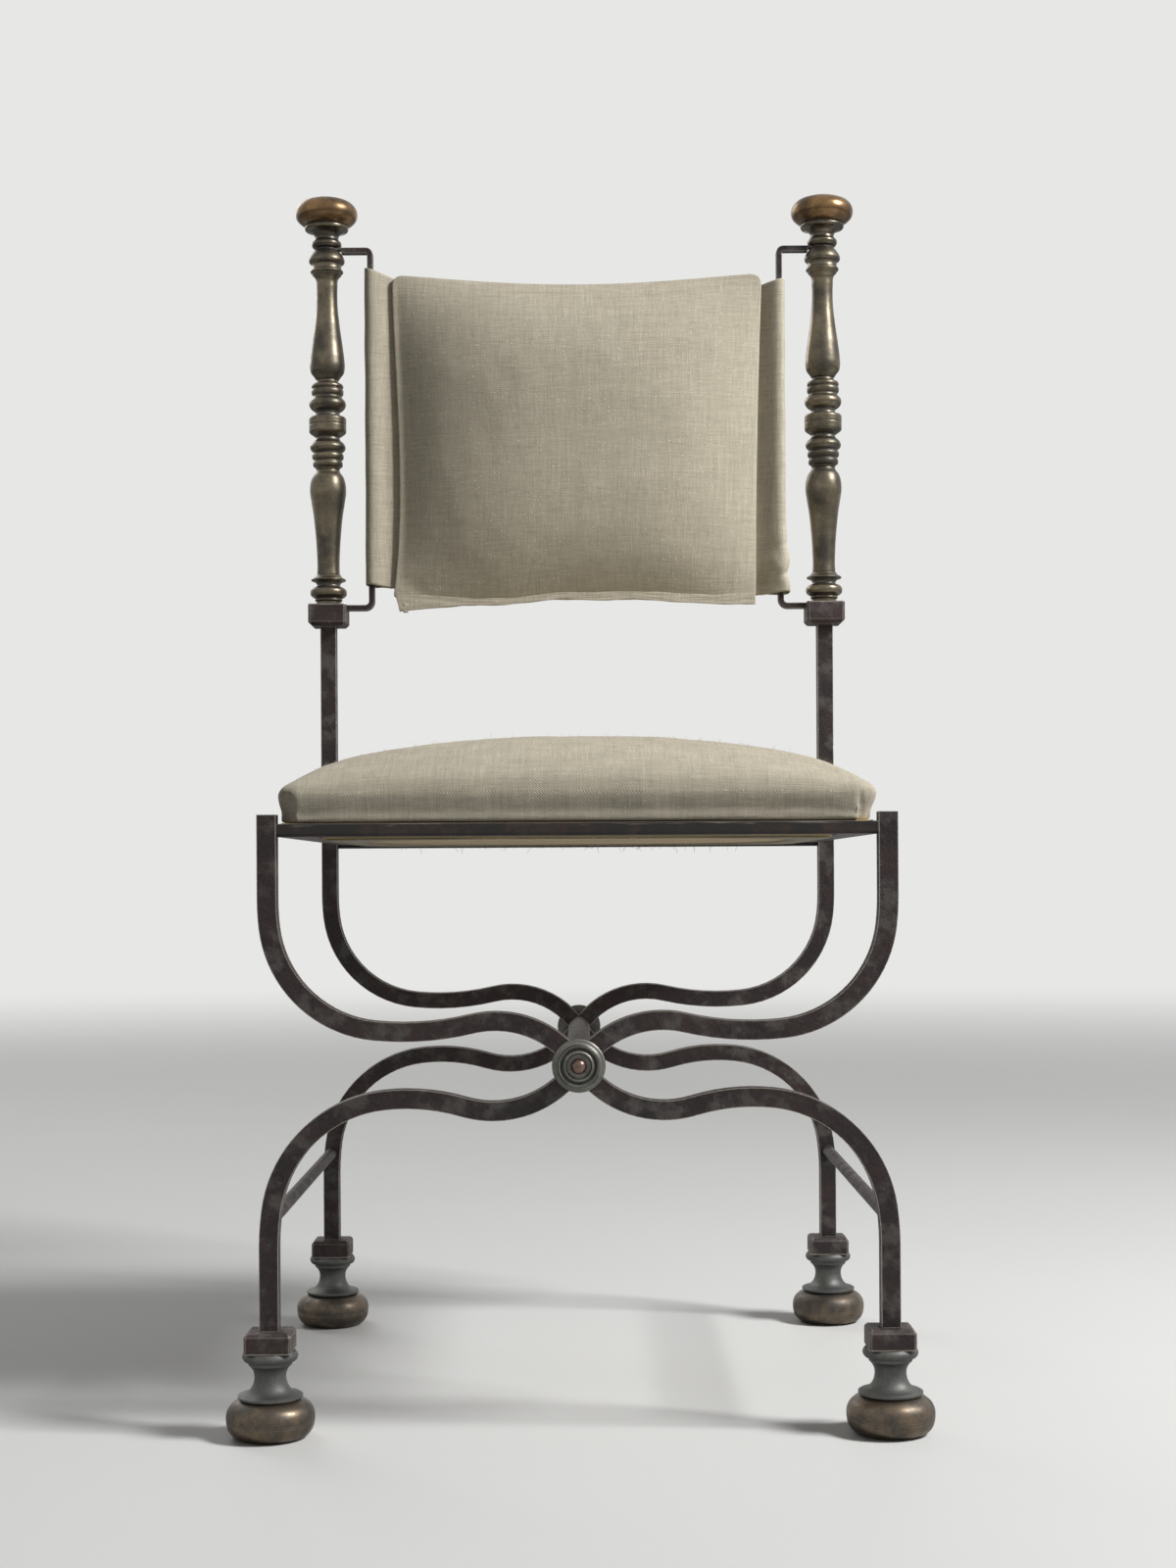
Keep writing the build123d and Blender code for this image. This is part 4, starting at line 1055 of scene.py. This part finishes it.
def creased(x, y, z):
    """Where a point of the smooth panel lies once the cloth is loose, gathered and creased."""
    sleeve, fold = ease(0.172, 0.180, abs(x)), gather(x, z)
    slack = ease(0.160, 0.170, abs(x)) * (1 - 0.6 * sleeve)
    y += 0.0005 * slack * drift(x, z, 1, 0.045)
    x += math.copysign(0.0004 * sleeve * (1 + drift(0, z, 2, 0.03)) + FOLD_OUT * fold, x)
    y += FOLD_DEEP * fold * (-1 if y < STRAP_Y else 1)
    if x > 0.15:
        sagging = ease(0.166, 0.176, x) * (1 - ease(0.660, 0.700, z))
        y -= SAG * sagging * math.sin(2 * math.pi * (z - 0.6 + 0.6 * x) / SAG_PITCH)
    if x < -0.15 and y < STRAP_Y:
        y += 0.0005 * ridge(z, CREASE_Z, 0.0012)
    return x, y, z


def panel_point(s, t):
    i = round(s * (len(section) - 1))
    x, y = section[i]
    low, high = panel_ends(x)
    z = low + (high - low) * t
    return creased(x, y, z), (run[i] - run[-1] / 2, z, 0.0)


def linen_grid(columns, rows, point_at, name):
    """A grid of linen. For s and t from 0 to 1, point_at gives a point and its place in the weave."""
    bm = bmesh.new()
    bmesh.ops.create_grid(bm, x_segments=columns, y_segments=rows, size=1.0)
    layer = bm.verts.layers.float_vector.new("weave")
    for vert in bm.verts:
        vert.co, vert[layer] = point_at((vert.co.x + 1) / 2, (vert.co.y + 1) / 2)
    return make_piece(bm, name, back_linen, "frame")


back_panel = linen_grid(len(section) - 1, PANEL_ROWS, panel_point, "back_panel")
modify(back_panel, "thickness", "SOLIDIFY", thickness=0.0009, offset=0)
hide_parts("back_sling")
print("back panel", len(back_panel.data.polygons), "faces")

# %% [markdown]
# ## The hem under the cushion
#
# Where cushion and panel are sewn together, the turned-in edges make a narrow flat lip below the
# stuffing. It is stiffer than the rest, since it is several layers thick, and at the left corner it
# ends in a small square fold. Both are strips of the same grid, moved into place and given thickness.

# %% Hem
LIP = [
    (-0.1538, 0.6216), (-0.133, 0.6240), (-0.112, 0.6256), (-0.095, 0.6267), (-0.060, 0.6272),
    (-0.017, 0.6318), (-0.002, 0.6316), (0.026, 0.6303), (0.051, 0.6318), (0.080, 0.6293),
    (0.118, 0.6270), (0.1555, 0.6263),
]
LIP_X, LIP_Z = zip(*LIP)
LIP_Y, TAB_Y, LIP_HIDDEN, WEAVE_SHIFT = 0.1866, 0.1852, 0.0025, 0.0007


def lip_point(s, t):
    x = LIP_X[0] + (LIP_X[-1] - LIP_X[0]) * s
    low, high = float(np.interp(x, LIP_X, LIP_Z)), crease(x) + LIP_HIDDEN
    y = LIP_Y + 0.0006 * drift(x, t, 4, 0.02) - 0.0008 * (1 - t)
    x -= 0.0038 * t * max(0, 1 - 8 * s)
    z = low + (high - low) * t
    return (x, y, z), (x + WEAVE_SHIFT, z, 0.0)


def tab_point(s, t):
    z = 0.6205 + 0.0002 * s + 0.0078 * t
    x = -0.1505 + 0.0042 * s + 0.0004 * drift(0, z, 8, 0.01)
    return (x, TAB_Y + 0.0004 * s, z), (x + WEAVE_SHIFT, z, 0.0)


hem_lip = linen_grid(160, 8, lip_point, "hem_lip")
modify(hem_lip, "thickness", "SOLIDIFY", thickness=0.0022, offset=0)
modify(hem_lip, "soft_edge", "BEVEL", width=0.0008, segments=2, limit_method="ANGLE")
corner_tab = linen_grid(4, 6, tab_point, "corner_tab")
modify(corner_tab, "thickness", "SOLIDIFY", thickness=0.0011, offset=0)
print("hem from", LIP_X[0], "to", LIP_X[-1])

# %% [markdown]
# ## Under the seat
#
# A second layer of plywood is glued under the board. It fits between the flanges of the seat frame and
# stops the loose seat from sliding. The linen is turned up over the board's edge and left raw, so its
# frayed yarns fringe the gap at the back. Loose yarns are many and tiny, so each one is only a short
# curve with a round section. All of them together are turned into one mesh.

# %% Locating board
UNDER_HALF, UNDER_LOW, UNDER_HIGH, UNDER_CORNER = 0.1835, 0.4183, 0.4226, 0.030
bm = bmesh.new()
bmesh.ops.create_cube(bm, size=1.0)
bmesh.ops.scale(bm, verts=bm.verts, vec=(2 * UNDER_HALF, 2 * UNDER_HALF, UNDER_HIGH - UNDER_LOW))
bmesh.ops.translate(bm, verts=bm.verts, vec=(0, 0, (UNDER_LOW + UNDER_HIGH) / 2))
upright_edges = [e for e in bm.edges if abs(e.verts[0].co.z - e.verts[1].co.z) > 0.001]
bmesh.ops.bevel(
    bm, geom=upright_edges, offset=UNDER_CORNER, offset_type="OFFSET", segments=10, profile=0.5,
    affect="EDGES", material=-1,
)
under_board = make_piece(bm, "locating_board", plywood, "seat", smooth=False)
print("locating board", len(under_board.data.polygons), "faces")


# %% Linen turned up under the board
def oval(i, count, half_x, half_y, power):
    """Point i of a closed outline between an ellipse and a rectangle."""
    angle = 2 * math.pi * (i + 0.5) / count
    c, s = math.cos(angle), math.sin(angle)
    reach = (abs(c / half_x) ** power + abs(s / half_y) ** power) ** (-1 / power)
    return reach * c, reach * s


RING, FOLD_Z, RAW_Z = 160, 0.4176, 0.4178
FOLD_LINE, RAW_LINE = (0.1828, 0.1828, 14), (0.163, 0.1775, 2.6)
bm = bmesh.new()
outer = bmesh.ops.create_circle(bm, segments=RING, radius=1.0)["verts"]
inner = bmesh.ops.create_circle(bm, segments=RING, radius=1.0)["verts"]
for i, (far, near) in enumerate(zip(outer, inner)):
    far.co = (*oval(i, RING, *FOLD_LINE), FOLD_Z)
    x, y = oval(i, RING, *RAW_LINE)
    ragged = 1 + 0.006 * drift(x, y, 0, 0.006)
    near.co = (x * ragged, y * ragged, RAW_Z)
bmesh.ops.bridge_loops(bm, edges=bm.edges[:])
weave_layer = bm.verts.layers.float_vector.new("weave")
for vert in bm.verts:
    vert[weave_layer] = (vert.co.x, vert.co.y, 0.0)
turned_linen = make_piece(bm, "turned_linen", back_linen, "seat")
modify(turned_linen, "thickness", "SOLIDIFY", thickness=0.0007, offset=0)


# %% Loose yarns
def yarn_finish(name, roughness, shine, grain, dark, pale):
    material, g = new_finish(name, Roughness=roughness, Specular_IOR_Level=shine)
    g.feed(Base_Color=g.mix(g.step(g.noise(g.place(), grain), 0.35, 0.65), dark, pale))
    return material


def yarn_piece(name, ways, finish, thickness):
    """A piece of the seat: one short round yarn along each list of points."""
    data = bpy.data.curves.new(name, "CURVE")
    data.dimensions = "3D"
    data.bevel_depth = thickness / 2
    data.bevel_resolution = 0
    data.use_fill_caps = True
    for way in ways:
        spline = data.splines.new("POLY")
        spline.points.add(len(way) - 1)
        for point, place in zip(spline.points, way):
            point.co = (*place, 1)
    maker = add_object(name + "_lines", data)
    mesh = bpy.data.meshes.new_from_object(maker.evaluated_get(bpy.context.evaluated_depsgraph_get()))
    bpy.data.objects.remove(maker)
    mesh.name = name
    mesh.materials.clear()
    piece = add_piece(mesh, name, finish, "seat")
    return piece


pick = random.Random(7)


def wisp(root, way, length, curl, steps=4):
    """A short yarn that leaves root along way and curls at random."""
    points, here, way = [], Vector(root), Vector(way).normalized()
    for _ in range(steps + 1):
        points.append(tuple(here))
        turn = Vector((pick.uniform(-1, 1), pick.uniform(-1, 1), pick.uniform(-1, 1)))
        way = (way + curl * turn).normalized()
        here = here + way * (length / steps)
    return points


# The fringe yarns are far darker than the linen: a painted shade under the seat.
shaded_fringe_yarn = yarn_finish("shaded_fringe_yarn", 0.9, 0.2, 300.0, (0.110, 0.094, 0.056), (0.330, 0.285, 0.190))
linen_fuzz = yarn_finish("linen_fuzz", 0.8, 0.3, 200.0, (0.56, 0.51, 0.40), (0.78, 0.73, 0.61))
print("yarn helpers ready")

# %% Frayed edge at the back of the seat
SHORT_YARNS, LONG_YARNS, FRINGE_X, FRINGE_Y = 1500, 30, 0.1845, 0.1850
fringe = []
for _ in range(SHORT_YARNS):
    x = pick.uniform(-FRINGE_X, FRINGE_X)
    edge = 0.4181 + 0.0030 * abs(x / 0.184) ** 3 + 0.0006 * drift(x, 0, 0, 0.012)
    root = (x, FRINGE_Y + pick.uniform(-0.0006, 0.0002), edge + pick.uniform(-0.0004, 0.0008))
    down = (pick.uniform(-0.9, 0.9), pick.uniform(-0.3, 0.0), pick.uniform(-1.0, -0.15))
    fringe.append(wisp(root, down, pick.uniform(0.0015, 0.0036), curl=0.35, steps=3))
for _ in range(LONG_YARNS):
    root = (pick.uniform(-0.16, 0.16), FRINGE_Y - 0.0005, RAW_Z)
    down = (pick.uniform(-0.7, 0.7), pick.uniform(-0.3, 0.0), pick.uniform(-1.0, -0.4))
    fringe.append(wisp(root, down, pick.uniform(0.004, 0.009), curl=0.3))
frayed_edge = yarn_piece("frayed_edge", fringe, shaded_fringe_yarn, thickness=0.00022)
print("frayed edge:", len(fringe), "yarns")

# %% Fuzz on the seat
TOP_FUZZ, FRONT_FUZZ, ROOT_DEPTH = 520, 220, 0.0003
ABOVE_SEAT, BEFORE_SEAT = 0.6, -0.3
fuzz = []
for _ in range(TOP_FUZZ):
    x, y = pick.uniform(-0.205, 0.205), pick.uniform(-0.20, 0.20)
    z = pad_height(x, y)
    hit, spot, _, _ = seat_cover.ray_cast(Vector((x, y, ABOVE_SEAT)), Vector((0, 0, -1)))
    z = spot.z if hit else z
    lean = (pick.uniform(-1, 1), pick.uniform(-1, 1), pick.uniform(0.15, 0.8))
    fuzz.append(wisp((x, y, z - ROOT_DEPTH), lean, pick.uniform(0.0020, 0.0055), curl=0.45))
for _ in range(FRONT_FUZZ):
    x, z = pick.uniform(-0.195, 0.195), pick.uniform(0.438, 0.462)
    hit, spot, _, _ = seat_cover.ray_cast(Vector((x, BEFORE_SEAT, z)), Vector((0, 1, 0)))
    if hit:
        lean = (pick.uniform(-1, 1), -pick.uniform(0.1, 0.5), pick.uniform(-0.8, 0.3))
        root = spot + Vector((0, ROOT_DEPTH, 0))
        fuzz.append(wisp(root, lean, pick.uniform(0.0015, 0.0045), curl=0.5))
yarn_piece("seat_fuzz", fuzz, linen_fuzz, thickness=0.00016)
print("fuzz:", len(fuzz), "yarns")

# %% [markdown]
# ## The floor
#
# The floor is one big pale disc. Far from the chair it turns into the colour of the backdrop, so that
# there is no hard line where it ends; only camera rays see that change. Light that bounces off the
# floor on to the chair meets a darker paint, so that the underside of the seat stays in shade.

# %% Floor
FLOOR_RADIUS, FADE_START, FADE_END = 14.0, 1.0, 6.5
DARK_BOUNCE = (0.30, 0.30, 0.295)
floor_finish, g = new_finish("floor_paint", Roughness=0.6, Specular_IOR_Level=0.3)
at, ray = g.place(), g.put("LightPath").outputs
shown = g.math("MAXIMUM", ray["Is Camera Ray"], ray["Is Glossy Ray"])
paint = g.mix(g.noise(at, 2.2, 4.0), (0.77, 0.77, 0.755), (0.82, 0.82, 0.805))
g.feed(Base_Color=g.mix(shown, DARK_BOUNCE, paint))
far = g.put("VectorMath", {0: at}, operation="LENGTH").outputs["Value"]
faded = g.times(g.step(far, FADE_START, FADE_END), ray["Is Camera Ray"])
glow = g.put("Emission", {"Color": BACKDROP, "Strength": 1.0})
surface = g.blend(faded, g.tree.nodes["Principled BSDF"], glow)
g.set(g.tree.nodes["Material Output"].inputs["Surface"], surface)
bm = bmesh.new()
bmesh.ops.create_circle(bm, cap_ends=True, segments=96, radius=FLOOR_RADIUS)
floor_mesh = bpy.data.meshes.new("floor")
bm.to_mesh(floor_mesh)
bm.free()
floor_mesh.materials.append(floor_finish)
floor = add_object("floor", floor_mesh)
print("floor", len(floor_mesh.polygons))

# %% Last update
bpy.context.view_layer.update()
